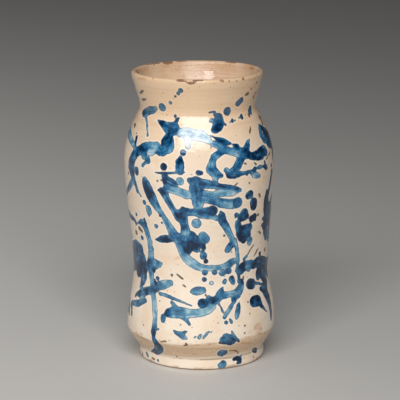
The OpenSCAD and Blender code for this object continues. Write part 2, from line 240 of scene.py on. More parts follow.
# Grit: sparse round specks, for the iron in the clay and the pinholes in the glaze
grit = bpy.data.node_groups.new("grit", "ShaderNodeTree")
for name in ("Scale", "Share", "Size"):
    grit.interface.new_socket(name, in_out="INPUT", socket_type="NodeSocketFloat")
grit.interface.new_socket("Specks", in_out="OUTPUT", socket_type="NodeSocketFloat")
grit_in = grit.nodes.new("NodeGroupInput").outputs
grit_spot = put(grit, "TexCoord").outputs["Object"]
grit_cells = put(grit, "TexVoronoi", None, Vector=grit_spot, Scale=grit_in["Scale"], Randomness=1.0)
grit_pick = put(grit, "SeparateColor", None, Color=grit_cells.outputs["Color"]).outputs
grit_size = times(grit, grit_in["Size"], scaled(grit, grit_pick[1], 0.7, 0.5))
grit_round = calc(grit, "SUBTRACT", 1.0, calc(grit, "DIVIDE", grit_cells.outputs["Distance"], grit_size))
grit_chosen = calc(grit, "LESS_THAN", grit_pick[0], grit_in["Share"])
grit.links.new(
    times(grit, ease(grit, grit_round, 0.0, 0.35), grit_chosen),
    grit.nodes.new("NodeGroupOutput").inputs["Specks"])


def specks(tree, scale, share, size):
    """Grit in a material: its cells to a metre, the share of them with a speck, and the speck's size."""
    return put(tree, "Group", {"node_tree": grit}, Scale=scale, Share=share, Size=size).outputs[0]


BUFF = shade("c39a70")
BUFF_PALE = shade("d8b790")
BUFF_IRON = shade("7b5334")
# Rounding of the foot, the standing ring's inner radius and hollow, all in mm, and steps round the jar
FOOT_EDGE = 1.5
RING = (44.0, 2.5)
CLAY_TURNS = 180
CLAY_STEP = 0.3
clay_outline = evenly(
    [(0.0, RING[1])] + [(RING[0] * k / 24, RING[1]) for k in range(2, 24)]
    + [(RING[0] - 0.4, RING[1]), (RING[0], RING[1] - 0.4), (RING[0], 0.6), (RING[0] + 0.6, 0.0)]
    + arc((FOOT_R - GLAZE - FOOT_EDGE, FOOT_EDGE), FOOT_EDGE, -90, 0, 6)
    + [(FOOT_R - GLAZE, FOOT_Z), (HEEL_R - GLAZE, HEEL_Z)]
    + curve(OUTSIDE, GLAZE, 90)[1:]
    + arc(LIP, LIP[2] - GLAZE, LIP_OUT, LIP_IN, 14)[1:-1]
    + curve(INSIDE, -GLAZE, 90)[::-1]
    + arc(CORNER, CORNER[2] + GLAZE, 0, -90, 14)[1:]
    + [(CORNER[0] * k / 8, FLOOR_Z - GLAZE) for k in range(7, -1, -1)], CLAY_STEP)
clay_body = thrown("jar_clay_body", clay_outline, CLAY_TURNS)
lean(clay_body)

buff_clay, tree, spot = blank_material("buff_clay")
rings = put(tree, "Mapping", None, Vector=spot, Scale=(4.0, 4.0, 260.0)).outputs[0]
colour = over(tree, ease(tree, cloud(tree, spot, 45.0), 0.35, 0.7), BUFF, BUFF_PALE)
colour = over(tree, ease(tree, cloud(tree, rings, 5.0, 4.0), 0.45, 0.75, 0.0, 0.35), colour, BUFF_IRON)
colour = over(tree, times(tree, specks(tree, 600.0, 0.16, 0.38), 0.7), colour, BUFF_IRON)
relief = scaled(tree, cloud(tree, rings, 5.0), 0.8, cloud(tree, spot, 900.0, 4.0))
bump = put(tree, "Bump", None, Strength=0.5, Distance=0.0003, Height=relief)
surface = put(tree, "BsdfPrincipled", None, Base_Color=colour, Normal=bump.outputs[0],
              Roughness=ease(tree, cloud(tree, spot, 200.0), 0.3, 0.7, 0.72, 0.9))
cover(clay_body, buff_clay, surface)
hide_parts("clay_body")
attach(clay_body, "root")

# The outer glaze with its splashes.
# A coat of white tin glaze, dipped and fired over the clay from the lip down to the foot's edge.
# The cobalt is brushed and flicked on the raw coat, so it melts in: strokes, drips, dots and specks.

# Each splash is a run of points: angle from the front in degrees, height and half width in mm,
# and strength from 0 for a thin wash to 9 for thick cobalt
SPLASHES = [
    # Neck, from the left round to the right
    [(-88, 226, 1.5, 8), (-77, 227.5, 0.8, 8)],
    [(-67, 217.2, 1.5, 8), (-63, 217.5, 2.6, 8), (-58, 218.6, 3, 7), (-53, 220.3, 3, 6),
     (-48, 221.4, 2.6, 4), (-44.5, 223, 1.7, 3)],
    [(-64, 214.6, 0.9, 6), (-58, 214.2, 1, 6), (-54, 211.8, 1, 6), (-50.5, 207.5, 1.1, 6),
     (-48, 203.5, 0.8, 6), (-46.8, 201.3, 1.4, 6)], [(-36, 224.7, 3.7, 6)], [(-14.7, 240.7, 2.3, 6)],
    [(-17.2, 238, 1.8, 6)], [(-20, 235.4, 1.3, 6)], [(-26, 229.3, 1.7, 5)], [(-22, 218.3, 1.4, 7)],
    [(-20.8, 212.8, 1.5, 8), (-19.8, 215, 1.5, 8), (-18.6, 216.4, 1.2, 8)], [(29.5, 221.6, 3.7, 7)],
    [(41.3, 227.4, 2.3, 8), (45, 229.6, 2.4, 8)], [(30.2, 212.6, 0.8, 8)], [(33, 213.3, 1.4, 9)],
    [(33.8, 214.9, 0.9, 9)], [(36.5, 213.6, 0.9, 8)], [(42, 215.3, 1, 9)], [(45.5, 215.3, 1.9, 9)],
    [(46.5, 217, 1.3, 9)], [(62.8, 220.8, 2, 8), (61, 218.2, 2.3, 8)],
    [(20.5, 217.5, 2.8, 8), (20, 213.5, 3.6, 7), (18, 210.5, 3.6, 8), (15, 208.3, 2.8, 8),
     (13, 207.5, 1.8, 8)], [(16.5, 214, 3, 5)],
    [(11, 221.3, 0.8, 5), (14, 221.8, 0.8, 6), (16.5, 221.8, 1, 8), (16.8, 219.5, 1.4, 7)],
    [(10.5, 214.3, 0.9, 6), (13, 215.5, 1.4, 5)], [(25.5, 211.2, 1.2, 8)],
    # Left shoulder
    [(-84, 198, 4, 6), (-77, 196.5, 3, 5), (-71, 194.3, 2.6, 4), (-65, 191.8, 2.2, 4),
     (-60, 189.3, 1.6, 5)], [(-60.5, 197, 1.6, 9), (-60, 192.5, 1.4, 9), (-58.5, 190.5, 1, 9)],
    [(-39.5, 213.5, 0.9, 8), (-35, 212, 1.8, 8), (-31, 210.5, 2.6, 7), (-27.5, 209, 3.8, 7),
     (-24, 208.3, 4.8, 8), (-21.5, 208, 4.6, 8)],
    [(-24.5, 203, 3, 7), (-25.5, 198, 5.5, 8), (-25, 194, 5.5, 5), (-28.5, 190.5, 4, 7), (-31, 189.5, 3, 7),
     (-35, 193, 3.6, 3.6)], [(-22, 194.5, 3.2, 4)],
    [(-36, 193, 3.3, 3.6), (-42, 193, 3, 4.2), (-46, 191, 4, 6), (-50, 189, 4.2, 8), (-54, 187, 3.6, 8),
     (-57.5, 184, 4.2, 8), (-60, 180.5, 4.4, 8), (-62.3, 176, 5.2, 8), (-63, 171.5, 5.4, 7),
     (-61.8, 167.5, 4.4, 8), (-60.5, 164, 3, 8), (-58.3, 160, 2, 7), (-56.3, 156, 1.6, 7),
     (-55, 152.3, 1.7, 7), (-52.8, 151, 0.9, 5), (-50.8, 149, 1.1, 4)],
    [(-41, 187.5, 2.4, 1), (-38, 188, 2.4, 1)],
    [(-41.8, 181, 2.7, 6), (-44.5, 178.5, 1.2, 6), (-47, 176, 1.5, 6)],
    [(-54.3, 171, 2.2, 6), (-54.4, 168.6, 2.2, 6)], [(-27, 177.5, 3.4, 7)],
    [(-13.6, 186.6, 1.2, 6), (-14, 184.5, 1.9, 7), (-14.3, 182, 3.1, 7), (-14.3, 178, 3.3, 7),
     (-14.2, 175, 3, 8)],
    # This wash under the shoulder's highlight is cobalt, painted paler than it is as a painted highlight
    [(-15, 205.5, 3, 1), (-12.2, 205.8, 3.6, 1), (-7, 205.2, 3.8, 0.9), (-1.8, 204, 3.8, 1),
     (3.2, 203.2, 4, 1), (7, 201, 3, 1.2)], [(-9, 203, 2.6, 0.8), (-8.5, 199.6, 2.4, 0.6)],
    [(-34.5, 171.8, 0.7, 8), (-30, 172, 1, 8), (-25, 172.3, 1.2, 8), (-20, 173, 1, 6), (-15, 173.5, 1, 6),
     (-9, 174.3, 0.5, 7)],
    [(-61, 160.5, 2, 6), (-62, 159.5, 2.4, 6), (-66, 155.5, 2.4, 6), (-71, 151.5, 2.2, 7),
     (-77, 147.5, 2, 7), (-84, 144, 2, 7)],
    # Right shoulder
    [(10.5, 203.5, 0.7, 7), (13, 202, 0.8, 8), (16.5, 200, 1.8, 8), (20, 198.8, 2, 9), (23, 197.2, 2, 8),
     (26.5, 196.5, 1, 7)],
    [(8.5, 199.5, 1.4, 3), (11, 197.5, 2, 4), (14.5, 196, 2.2, 4), (18.5, 193.8, 2.2, 4), (22, 192, 2, 5),
     (26, 191, 1.8, 5), (29.5, 190, 1.8, 5)],
    [(23, 189.8, 1.6, 5), (27, 188, 1.4, 3), (31, 186.3, 1.6, 2), (33, 185.5, 1.6, 3)],
    [(24, 190.5, 1.6, 5), (20, 190.8, 2, 6), (15.5, 189, 2.4, 7), (12, 186.5, 2.5, 7), (10.3, 183, 2.3, 6),
     (9.8, 179.5, 3.2, 5), (9.3, 176.5, 4, 5), (11.5, 173.8, 3.6, 5), (14, 171.5, 2.8, 7),
     (17, 170.8, 1.6, 7)], [(12, 169, 2, 4), (13, 167.3, 1.4, 4)],
    [(20.8, 175, 2, 5), (21.8, 172.8, 1.4, 4)],
    [(36, 188.5, 3.2, 8), (38, 187.5, 4.4, 7), (40, 186.5, 3.4, 7), (43, 184.8, 2.4, 8)],
    [(40.5, 191, 2.6, 8), (42.3, 193.3, 2.3, 9), (43.6, 195.5, 1.6, 7), (45.8, 197.5, 0.9, 4)],
    [(29, 195, 1.2, 8), (31.5, 192.5, 2.8, 7), (33.3, 190, 2.2, 5)],
    [(36.5, 187, 3, 7), (35, 184.5, 3, 6), (32.5, 181.5, 3.2, 7), (30.5, 178, 3.4, 7), (28, 175, 3, 7),
     (25, 172.3, 3, 8), (23, 171.3, 2.6, 8)],
    [(24, 170.5, 2.6, 8), (28, 170, 2.2, 7), (32, 170.8, 1.9, 7), (36, 171, 1.4, 6), (40, 171.3, 1.4, 7),
     (43.5, 172, 1, 6), (46.8, 172.3, 2, 8), (49, 173, 1, 5), (53, 173.3, 1.8, 5), (57, 173.2, 1, 6),
     (60, 173, 2, 9), (62, 171.3, 2, 9), (64, 170.5, 1, 9)], [(60, 176.5, 1.6, 8)], [(73, 171, 2, 9)],
    [(38.5, 169.3, 1.2, 7)],
    [(42.5, 169.3, 1, 5), (45.5, 168, 2.2, 4), (49, 167, 2.4, 4), (52, 166, 1.6, 4)],
    [(44, 184, 2.6, 8), (48, 183.5, 3.4, 9), (52, 183.5, 4.2, 9), (56.5, 184.5, 4.8, 9), (61, 186, 4, 8),
     (63.5, 184, 3, 9)], [(62.5, 198, 1.8, 5), (65.5, 202.5, 2.4, 6)],
    [(67, 206, 1.2, 8), (72, 202, 2.6, 9), (79, 196, 5, 9), (88, 187, 7, 9)],
    [(66, 195, 3.4, 6), (71, 195, 5, 9), (77, 193, 6, 9)], [(71, 189.5, 2, 9), (76, 186.5, 2, 9)],
    # Front, over the waist
    [(-26, 169, 2.8, 8), (-25, 166, 3.6, 8), (-21.5, 164.5, 3.6, 8), (-18, 163.3, 2.4, 8)],
    [(-25, 160, 2.8, 6), (-20, 158.8, 3, 4.2), (-14, 156.8, 3, 4), (-9, 154.8, 3.2, 4)],
    [(-32.5, 157.2, 1, 7), (-29.5, 157, 2.4, 8), (-27, 154.5, 3.2, 8), (-25.5, 151.5, 2.6, 7),
     (-23.3, 147, 2.3, 6), (-21, 142.5, 2, 6), (-18.5, 138.5, 2.4, 7), (-16, 134.5, 3, 7)],
    [(-6.5, 167.3, 2.2, 8), (-2.5, 166.5, 4, 7), (2, 164.8, 3.6, 7), (6, 164.2, 3.3, 7),
     (10, 163.2, 2.6, 7), (15, 162, 2, 7), (20, 160.8, 2.1, 8), (25, 159.5, 2.2, 8), (29, 157.7, 2.2, 8),
     (32.5, 156.8, 1.5, 8)],
    [(-2.5, 164, 4.5, 6), (-2, 159.5, 5.8, 7), (-1.5, 155, 5.5, 7), (-1, 152, 5, 5), (-1, 148.5, 4.6, 4),
     (-1.5, 145.5, 2.8, 4)],
    [(5, 155, 3.2, 5), (10, 154, 2.8, 4), (15, 156, 2.6, 3.8), (20, 156, 2.6, 3.6), (25, 155.5, 2.6, 3.6),
     (29, 156.5, 2, 5)],
    [(3, 151.2, 2, 5), (8, 150.3, 2.6, 6), (13, 149, 3.2, 6), (18, 147.2, 3.6, 4), (23, 146, 3.8, 3),
     (28.5, 145.8, 3.8, 4)], [(15.5, 145.3, 2, 8)], [(-0.5, 174, 1.8, 6), (1.5, 173.7, 1.8, 7)],
    [(-12, 140.5, 3.2, 7), (-7, 140, 2.6, 7), (-2, 140.3, 2.8, 8), (3, 140.3, 3, 7), (7, 140.5, 3.4, 8),
     (9.5, 140.8, 3, 7)], [(-13, 143.8, 0.9, 8)],
    [(0, 137.5, 2, 5), (5, 137, 2.4, 4), (10, 136.3, 2.2, 3), (13, 134.5, 2, 2)],
    [(-14, 137.5, 4.6, 8), (-13, 133, 3.8, 8), (-12, 129, 2.9, 9), (-11.5, 125.5, 3.2, 9),
     (-11.5, 121.5, 3.6, 4)],
    [(-7, 119, 4, 8), (-9, 114, 6, 8), (-10.5, 109.5, 5.2, 8), (-11, 106, 3.4, 8)],
    [(-8, 113, 4, 8), (-4.5, 111.5, 4, 8), (-3, 107.5, 2.4, 6)],
    [(-6, 117, 3, 8), (0, 116, 3, 8), (1.5, 111, 2.6, 8), (3, 108.5, 1.6, 8)],
    [(-21, 119, 3.4, 5), (-16, 116, 4.4, 6), (-11, 112, 4.4, 8), (-5, 110.5, 3.2, 8)],
    [(2, 105, 1.6, 8), (2.5, 102.3, 2.6, 7), (1.5, 100.3, 1.6, 7)], [(4.4, 97, 2.2, 8)],
    [(-2.6, 130.2, 4.2, 5)],
    # The long stroke that falls from the left shoulder and turns into a bowl
    [(-45, 163.5, 2.8, 7), (-44, 160.5, 4.2, 8), (-42.2, 156, 4.8, 8), (-39.6, 151, 4.8, 8),
     (-37, 146.3, 4, 7), (-34.6, 142, 3, 6), (-32, 138.8, 2.2, 4), (-29.4, 135, 2, 2.8),
     (-27.4, 131.5, 2.1, 2.8), (-25, 127.5, 2.5, 3.6), (-23, 123.3, 3.2, 5), (-21, 119.5, 3.8, 7),
     (-18.5, 115.5, 3.4, 5), (-17.6, 112, 2.4, 4), (-16.3, 108, 2.2, 4), (-14.3, 103.5, 2.8, 3),
     (-11.5, 99.5, 3.4, 3), (-8, 96.3, 3.6, 3), (-4, 93.6, 3.2, 3), (0, 91.7, 2.7, 3), (5, 90.8, 2.2, 3),
     (10, 90.8, 2, 3), (15, 91, 2, 4), (20, 91.8, 2.2, 3), (24.5, 93.3, 3, 5), (28, 95.3, 2.4, 6)],
    [(-38.3, 112.9, 0.9, 8), (-35.3, 113.3, 1.7, 8), (-31.3, 114.5, 2.8, 8), (-28.3, 115, 3, 8),
     (-25.6, 114.4, 1.8, 8), (-22.9, 113.6, 0.8, 9)], [(-25.5, 117.3, 1.4, 3)], [(-36.8, 125, 2.2, 4)],
    [(-43.2, 139, 2.6, 6), (-42.7, 137, 2.6, 7), (-43.3, 133.5, 1.1, 8)], [(-47.3, 144, 2.2, 6)],
    [(3, 81.2, 2.3, 7)], [(8.8, 77.8, 2.2, 2)], [(19.8, 78, 1.7, 6), (20.5, 79.5, 1.4, 6)],
    [(26.3, 80.3, 2.2, 7), (27.6, 77, 1.9, 7)],
    # Right of the waist
    [(40.2, 151, 2.8, 9.5), (42.3, 151.7, 3.3, 9.5)], [(46.2, 144, 3.8, 9.5), (46.5, 141, 3.6, 10)],
    [(37, 136.5, 3.6, 7), (35.5, 133.5, 3.8, 9), (33.5, 132, 2.6, 9)],
    [(36, 134, 2.6, 9), (39, 133.5, 2.6, 10)], [(29.5, 135.3, 2, 7), (28.8, 133.8, 1, 7)],
    [(45, 130, 2.8, 10), (48, 131, 2.8, 10), (49.3, 128.5, 1.3, 10)],
    [(30.5, 129, 1.8, 6), (31.5, 126, 2.8, 7), (32.5, 122.5, 2.8, 8), (33.5, 119, 3.4, 9)],
    [(36.5, 121.5, 4.2, 9), (40.5, 121.5, 4.4, 8), (43, 123, 3, 8)],
    [(33.5, 118, 3, 9), (36, 116, 4.4, 10), (40.5, 116.5, 4.4, 9), (37.5, 113, 3, 10)],
    [(16.3, 139.5, 1.2, 5), (17.3, 136.5, 2.8, 7), (17.8, 132, 3.2, 5), (19.8, 128, 2.8, 6),
     (21.9, 124.5, 2.6, 6), (24, 120, 2.2, 5), (26.2, 115.8, 2, 6), (27, 112.5, 2.2, 8),
     (26.5, 111, 2.4, 8), (24.5, 108.5, 2.6, 8), (22.7, 106, 2.4, 7)],
    [(29, 114, 1.6, 6), (30, 110, 1.5, 5), (31, 105, 1.6, 4), (31.8, 100, 1.5, 4), (32.3, 95.5, 1.6, 5),
     (31.8, 91, 1.2, 4), (31, 86.5, 1.3, 6)],
    [(64.5, 150, 1.8, 8), (62.8, 145, 2, 9), (62.5, 140, 2.4, 9), (63.5, 135, 3, 9), (66.5, 130, 4.5, 9),
     (63, 127.5, 2, 9), (60, 126.8, 1.2, 8)], [(66, 127, 3.4, 9), (64, 120, 3.4, 9), (60, 121.5, 1.6, 8)],
    [(65, 119, 3, 9), (67, 115, 4, 8), (70, 110, 4, 7)],
    [(75, 165, 2.4, 9), (70.5, 154, 2.2, 9), (66.5, 146, 2.2, 9), (66, 139, 3.4, 9), (72, 132, 6, 9),
     (80, 125, 8, 9), (80, 116, 7, 9), (78, 107, 4, 9)],
    # Right, below the waist
    [(36, 85, 2, 8), (34.5, 89, 2, 9), (38, 89, 4, 9), (42, 89.5, 4, 5), (46.5, 90.3, 3, 7),
     (50, 88.5, 3.4, 9), (55, 90, 4, 9), (60, 88.5, 5.4, 9), (66, 86, 6, 9), (73, 83, 6, 9)],
    [(42, 89, 2.5, 5), (44, 86, 2, 5)], [(60, 86, 4, 9), (58, 80, 4.6, 9), (62, 77, 3, 9)],
    [(58, 80, 3, 9), (56.5, 76.5, 2.4, 8)], [(59, 96.5, 2, 9)], [(38.5, 95.5, 1.4, 4), (41.5, 98, 1.3, 4)],
    [(50.5, 72.3, 1.6, 7), (53, 71.7, 1.1, 9), (57, 70.6, 1.2, 9), (61, 69, 0.9, 9), (65, 67.5, 1.6, 9)],
    [(52, 56.5, 2.8, 9), (54.7, 54.3, 2.4, 9), (55.5, 52, 2, 9), (57.5, 50, 1.4, 8), (60.5, 46.5, 0.9, 8),
     (63.5, 44.3, 0.7, 6)],
    [(58.5, 65.5, 1.6, 9), (62, 64, 2.4, 8), (66, 61, 4.4, 9), (69, 55.5, 4.6, 9), (70.5, 49.5, 3.6, 8),
     (71.5, 44, 2.8, 8), (72, 40, 3, 9), (72, 36, 1.8, 9)],
    [(66, 76, 5, 9), (70, 69, 4, 9), (68, 63, 3, 9)],
    [(31, 86.5, 1.3, 6), (33.3, 84, 1.6, 7), (33.3, 80, 1.2, 6), (33.5, 77, 1.6, 6), (36, 77.5, 1.4, 8),
     (36.5, 75, 1.8, 8), (35, 72, 2.8, 6), (33, 69.3, 3.4, 6), (31, 67, 3.4, 6), (28, 64.5, 2.6, 8),
     (26.5, 62.3, 1.6, 8)],
    [(28.5, 61.3, 1.2, 7), (26, 59, 1.3, 6), (23.5, 56, 1.6, 5), (21, 52.5, 1.6, 4), (19, 50, 1.5, 5),
     (18, 48.5, 1.4, 6)],
    [(31.8, 59.2, 0.7, 7), (30.8, 56, 1.8, 7), (29.6, 52, 2.1, 6), (28.6, 48.5, 1.9, 4),
     (28.1, 46.5, 1.2, 4)], [(19.4, 43.9, 1.9, 6)], [(22.5, 46.5, 1.1, 5), (23.7, 43.8, 1.3, 6)],
    [(17, 29.5, 2.4, 7), (19.5, 31, 3.4, 6), (22.5, 29.3, 3.6, 7), (25.3, 27.3, 2.6, 8),
     (23.5, 25.5, 1.8, 8)], [(14.5, 27.3, 0.9, 9), (19, 26.4, 1.2, 9), (24, 25, 1.4, 9)],
    [(24.3, 36, 1, 5), (25.2, 33.5, 1.1, 5), (26.3, 31, 1.5, 6), (28, 29, 1.2, 7), (30.3, 26.8, 1.1, 8),
     (30.8, 25.8, 0.9, 8)], [(17.5, 16, 3.2, 6), (19.5, 16.3, 2.6, 7), (18, 13, 1.2, 7)],
    [(17.7, 3.5, 2.6, 6), (19.7, 4.5, 2.8, 7)],
    [(30.5, 7.5, 1.4, 10), (33.5, 8, 1.8, 10), (36.5, 6.5, 2.2, 10), (37, 4, 1.6, 10), (34, 3.3, 1.2, 10)],
    [(39, 9.5, 1, 8)], [(53, 12.5, 1.6, 10), (57, 10.3, 2.2, 10), (60.5, 8.8, 1.6, 10)],
    # Front, below the waist
    [(3, 61.4, 2.4, 7), (4.5, 61.5, 2.8, 7), (7, 63.5, 3, 6), (9.5, 62.5, 3, 8), (12.5, 63.5, 2.8, 7),
     (15, 65.5, 2.6, 6), (17.5, 66.8, 2.8, 8), (20.5, 66.7, 2.4, 7), (24, 67.3, 2.2, 4),
     (27.5, 67.2, 2.6, 5), (30, 66.5, 3.4, 6)],
    [(13.5, 67.5, 1.6, 5), (15.5, 69.8, 1.6, 6), (17.2, 71.8, 1.5, 7), (18, 73.3, 0.9, 6)],
    [(6, 66.3, 1.8, 4)], [(14, 60, 1, 6), (15.3, 57.5, 0.8, 7), (16.5, 54.5, 1, 6), (17, 53, 0.9, 6)],
    [(11, 59, 1, 2), (9, 57.8, 2.4, 2), (5.5, 55.3, 3, 2), (1, 53.5, 3, 2), (-4, 52.6, 3, 2),
     (-9, 52.4, 3.4, 2), (-14, 52.3, 4.2, 4), (-19, 52.5, 4.6, 4), (-23, 52, 4.2, 5), (-26.5, 51.3, 3.4, 8),
     (-28.5, 50.7, 1.8, 8)], [(-21, 57, 1.6, 6), (-22.8, 59, 1.6, 6), (-24.3, 60.3, 1.3, 6)],
    [(-13, 48.3, 2, 5), (-10.5, 45.5, 1.3, 5), (-8.8, 43.2, 1.1, 5)],
    [(-8.5, 70.3, 0.9, 5), (-6, 70.8, 2.2, 6), (-4, 71.2, 3.2, 6), (-1, 71.7, 3, 5), (1.5, 71.9, 2.3, 5),
     (3, 72, 1.2, 4)],
    [(-20.7, 36.8, 1, 6), (-19, 35.5, 1.5, 6), (-16, 34.5, 2, 6), (-13.5, 32.5, 2, 6), (-11, 31.3, 1.2, 4)],
    [(-14, 35.5, 1.4, 6), (-11.5, 36.9, 1, 5), (-10.4, 37.3, 0.6, 5)],
    [(-5, 32, 0.8, 5), (-4, 33.3, 0.6, 5)], [(-1.3, 32, 1.2, 4), (-0.3, 34, 1.2, 4), (0.3, 35.2, 0.7, 4)],
    [(1.5, 31, 0.7, 4), (3, 33.5, 1.2, 5), (4.5, 35.5, 1.2, 5), (6, 37.4, 0.7, 5)],
    [(7.5, 36.3, 0.5, 4), (8.7, 37.7, 0.5, 4)], [(-28.3, 42.3, 0.7, 6)],
    # Left: the hooked stroke, the stem under it, the large pool at the edge and the cross stroke
    [(-88, 126, 4, 8), (-80, 127, 3, 8), (-72, 125.8, 2.2, 9), (-66, 125.5, 1.6, 9), (-63, 122.7, 1.8, 8),
     (-60, 123, 0.8, 7), (-57, 124.5, 1.5, 8), (-53.5, 125, 2.8, 7), (-50, 125.5, 3, 7),
     (-49, 129.5, 1, 7)],
    [(-50.5, 124, 2.8, 6), (-48.3, 120, 2.8, 5), (-46.8, 115, 2.5, 4), (-45.5, 110, 2.3, 4.4),
     (-45, 105, 2.6, 4), (-45, 100, 2.8, 4), (-45.3, 96, 3, 4.6), (-45.5, 92, 4.4, 7), (-45.5, 87, 4.8, 8),
     (-46, 82.5, 2.6, 5), (-46, 79, 2.2, 2), (-45, 75, 2.2, 3), (-44.5, 71.5, 2.4, 5)],
    [(-44, 91, 3.5, 6), (-40.5, 91, 4, 5), (-37, 91.5, 2.6, 5), (-34.5, 92.5, 1.4, 5)],
    [(-44, 104, 1.4, 4), (-42, 104, 1, 5)], [(-44.5, 110.3, 1.4, 4), (-42.5, 110.3, 1, 5)],
    [(-60.3, 131, 2, 8)], [(-55, 111.3, 2.3, 8)],
    [(-60, 100.5, 4.8, 7), (-66, 101.5, 5.4, 8), (-73, 98, 6.4, 9), (-81, 94, 7.4, 9)],
    [(-58, 93, 5.4, 7), (-66, 90, 7, 8), (-77, 86, 8, 9), (-86, 82, 8, 9)],
    [(-53, 88, 3, 7), (-56, 84.5, 5, 8), (-60, 83, 6, 8), (-66, 79.5, 5, 9)],
    [(-57.5, 82, 5, 8), (-56.5, 77.5, 4.4, 7), (-57.5, 73.5, 3.4, 6), (-59, 70.5, 2.4, 7)],
    [(-42.3, 75.5, 1.9, 8), (-41, 72.5, 2.4, 8)], [(-38.7, 78.7, 1.8, 7), (-38.5, 77, 1, 7)],
    [(-68, 57.3, 1.4, 8), (-66, 59.5, 1.4, 6), (-62, 60.5, 2.6, 8), (-57, 62.5, 3.2, 7),
     (-52, 64.8, 3.2, 8), (-47, 66.8, 3, 8), (-43, 68.5, 3.4, 8), (-40, 70.5, 3, 7), (-37, 72.3, 3, 5),
     (-33, 74, 3.6, 4), (-29, 75.8, 2.9, 3), (-26, 76.7, 2.2, 2)], [(-60.5, 67, 1.8, 4), (-57, 66, 1.2, 5)],
    [(-54, 60.5, 1.6, 2), (-58, 58.7, 1.6, 2)],
    [(-43.5, 67, 2, 5), (-42.8, 64, 2.2, 3.4), (-41.6, 60, 2.3, 3.2), (-40.3, 55, 2.2, 3.2),
     (-39.2, 50, 2.2, 3.6), (-38.4, 45, 2, 3.8), (-38.2, 40, 2, 4.4), (-38.3, 36.5, 2.4, 7),
     (-38.8, 33, 2.4, 8), (-38.7, 29.5, 1.7, 8), (-38.2, 26.5, 2, 8), (-37, 23.5, 3, 8), (-36, 20, 3.8, 8),
     (-37.5, 16.5, 3.2, 7), (-41.5, 13.5, 2.8, 7), (-45, 11.5, 2.2, 8), (-49, 11, 1.2, 8),
     (-51, 10.7, 0.7, 7)], [(-35.5, 36, 1, 7), (-33.8, 36.2, 0.9, 6)],
    [(-51, 57, 1.5, 7), (-55, 55.3, 2, 7), (-60, 52.8, 2.6, 6), (-66, 51.3, 2.2, 6), (-72, 49.8, 1.8, 6),
     (-76, 48.3, 1.3, 7), (-74.5, 46, 1.2, 7)], [(-86, 47, 1.5, 8), (-82, 48.5, 1.2, 8)],
    [(-88, 40, 3, 6), (-84, 40.5, 2.4, 6)], [(-83.5, 48.5, 2.6, 9), (-80, 43, 2.4, 9), (-77, 38.5, 1.6, 9)],
    [(-74, 49.5, 1.7, 9), (-70, 40.3, 1.5, 9)],
    [(-92, 114, 2.4, 9), (-86, 111, 1.6, 9), (-78, 107, 1.2, 9)],
    [(-36, 66, 1.3, 4), (-31, 65.7, 1.4, 4), (-26, 64.5, 1.4, 5), (-22, 63.4, 1.2, 6), (-17, 62, 1.1, 5),
     (-12, 60.4, 0.9, 5), (-7.5, 58.7, 0.7, 6)], [(-35.5, 60, 0.9, 6)],
    [(-61, 6.5, 1.4, 6), (-58.5, 4.5, 1.4, 6)], [(-43.5, 4, 1.5, 6)],
    # Right side and back, upper half and then lower half
    [(95, 205, 1.5, 4), (103, 198, 3, 6), (112, 190, 4, 8), (120, 180, 4.2, 8), (127, 169, 3.6, 7),
     (132, 157, 3.2, 6), (135, 147, 2.2, 4), (137, 139, 1, 3)],
    [(128, 200, 2, 6), (138, 203, 3.4, 7), (149, 203, 4, 8), (160, 199, 3.4, 6), (169, 193, 2.4, 4)],
    [(152, 186, 2.8, 8), (160, 181, 3.4, 7), (165, 173, 3.8, 8), (163, 165, 3.2, 6), (156, 160, 2.6, 4),
     (149, 163, 2, 3)],
    [(180, 207, 1.4, 5), (186, 199, 2.8, 7), (193, 190, 3.8, 8), (202, 182, 4.2, 8), (213, 178, 3.8, 6),
     (224, 179, 2.6, 5), (232, 183, 1.2, 3)],
    [(206, 208, 2.4, 6), (215, 205, 3.4, 8), (225, 203, 3, 7), (234, 205, 1.6, 4)],
    [(242, 199, 3, 8), (250, 193, 4.4, 9), (257, 184, 4, 8), (260, 174, 3, 6), (259, 164, 1.8, 4)],
    [(92, 182, 3, 7), (97, 174, 4, 8), (96, 165, 4, 8), (91, 157, 2.4, 6)],
    [(143, 150, 2, 4), (150, 143, 3.4, 6), (157, 134, 4, 7), (162, 124, 3.6, 8), (164, 113, 3, 6),
     (161, 103, 2.6, 4), (154, 95, 2.2, 3), (146, 91, 1.4, 3)],
    [(176, 148, 3, 7), (185, 142, 4.2, 8), (195, 139, 4.4, 8), (205, 141, 3.4, 6), (212, 146, 1.8, 4)],
    [(232, 160, 2, 5), (230, 150, 3.4, 7), (225, 139, 4, 8), (219, 128, 3.8, 7), (214, 117, 3, 5),
     (212, 106, 2.4, 4), (214, 96, 1.8, 3)],
    [(262, 150, 1.4, 5), (258, 140, 2.6, 6), (252, 128, 3.2, 8), (247, 116, 3, 7), (246, 104, 3.4, 6),
     (250, 94, 4, 7), (258, 87, 3.8, 8), (265, 83, 2.8, 8)],
    [(88, 140, 2, 4), (95, 133, 3.4, 6), (104, 128, 4.4, 8), (113, 127, 3.6, 7), (120, 131, 2, 5)],
    [(85, 110, 2.8, 7), (93, 105, 4.2, 8), (102, 103, 4.4, 9), (111, 99, 4, 7), (118, 92, 3, 5),
     (122, 84, 1.6, 3)],
    [(176, 120, 2, 5), (183, 113, 3.6, 7), (189, 104, 4, 8), (192, 94, 3.6, 8), (190, 84, 3, 6),
     (184, 77, 2, 4)],
    [(228, 92, 2, 4), (222, 84, 3.4, 6), (213, 78, 4, 8), (203, 74, 3.4, 7), (196, 69, 2, 5)],
    [(130, 78, 2, 4), (139, 73, 3.4, 6), (149, 69, 4, 7), (160, 67, 3.4, 5), (170, 69, 2, 3)],
    [(90, 80, 4, 8), (97, 73, 4.4, 9), (101, 64, 3.6, 8), (102, 54, 2.6, 6), (100, 45, 1.6, 4)],
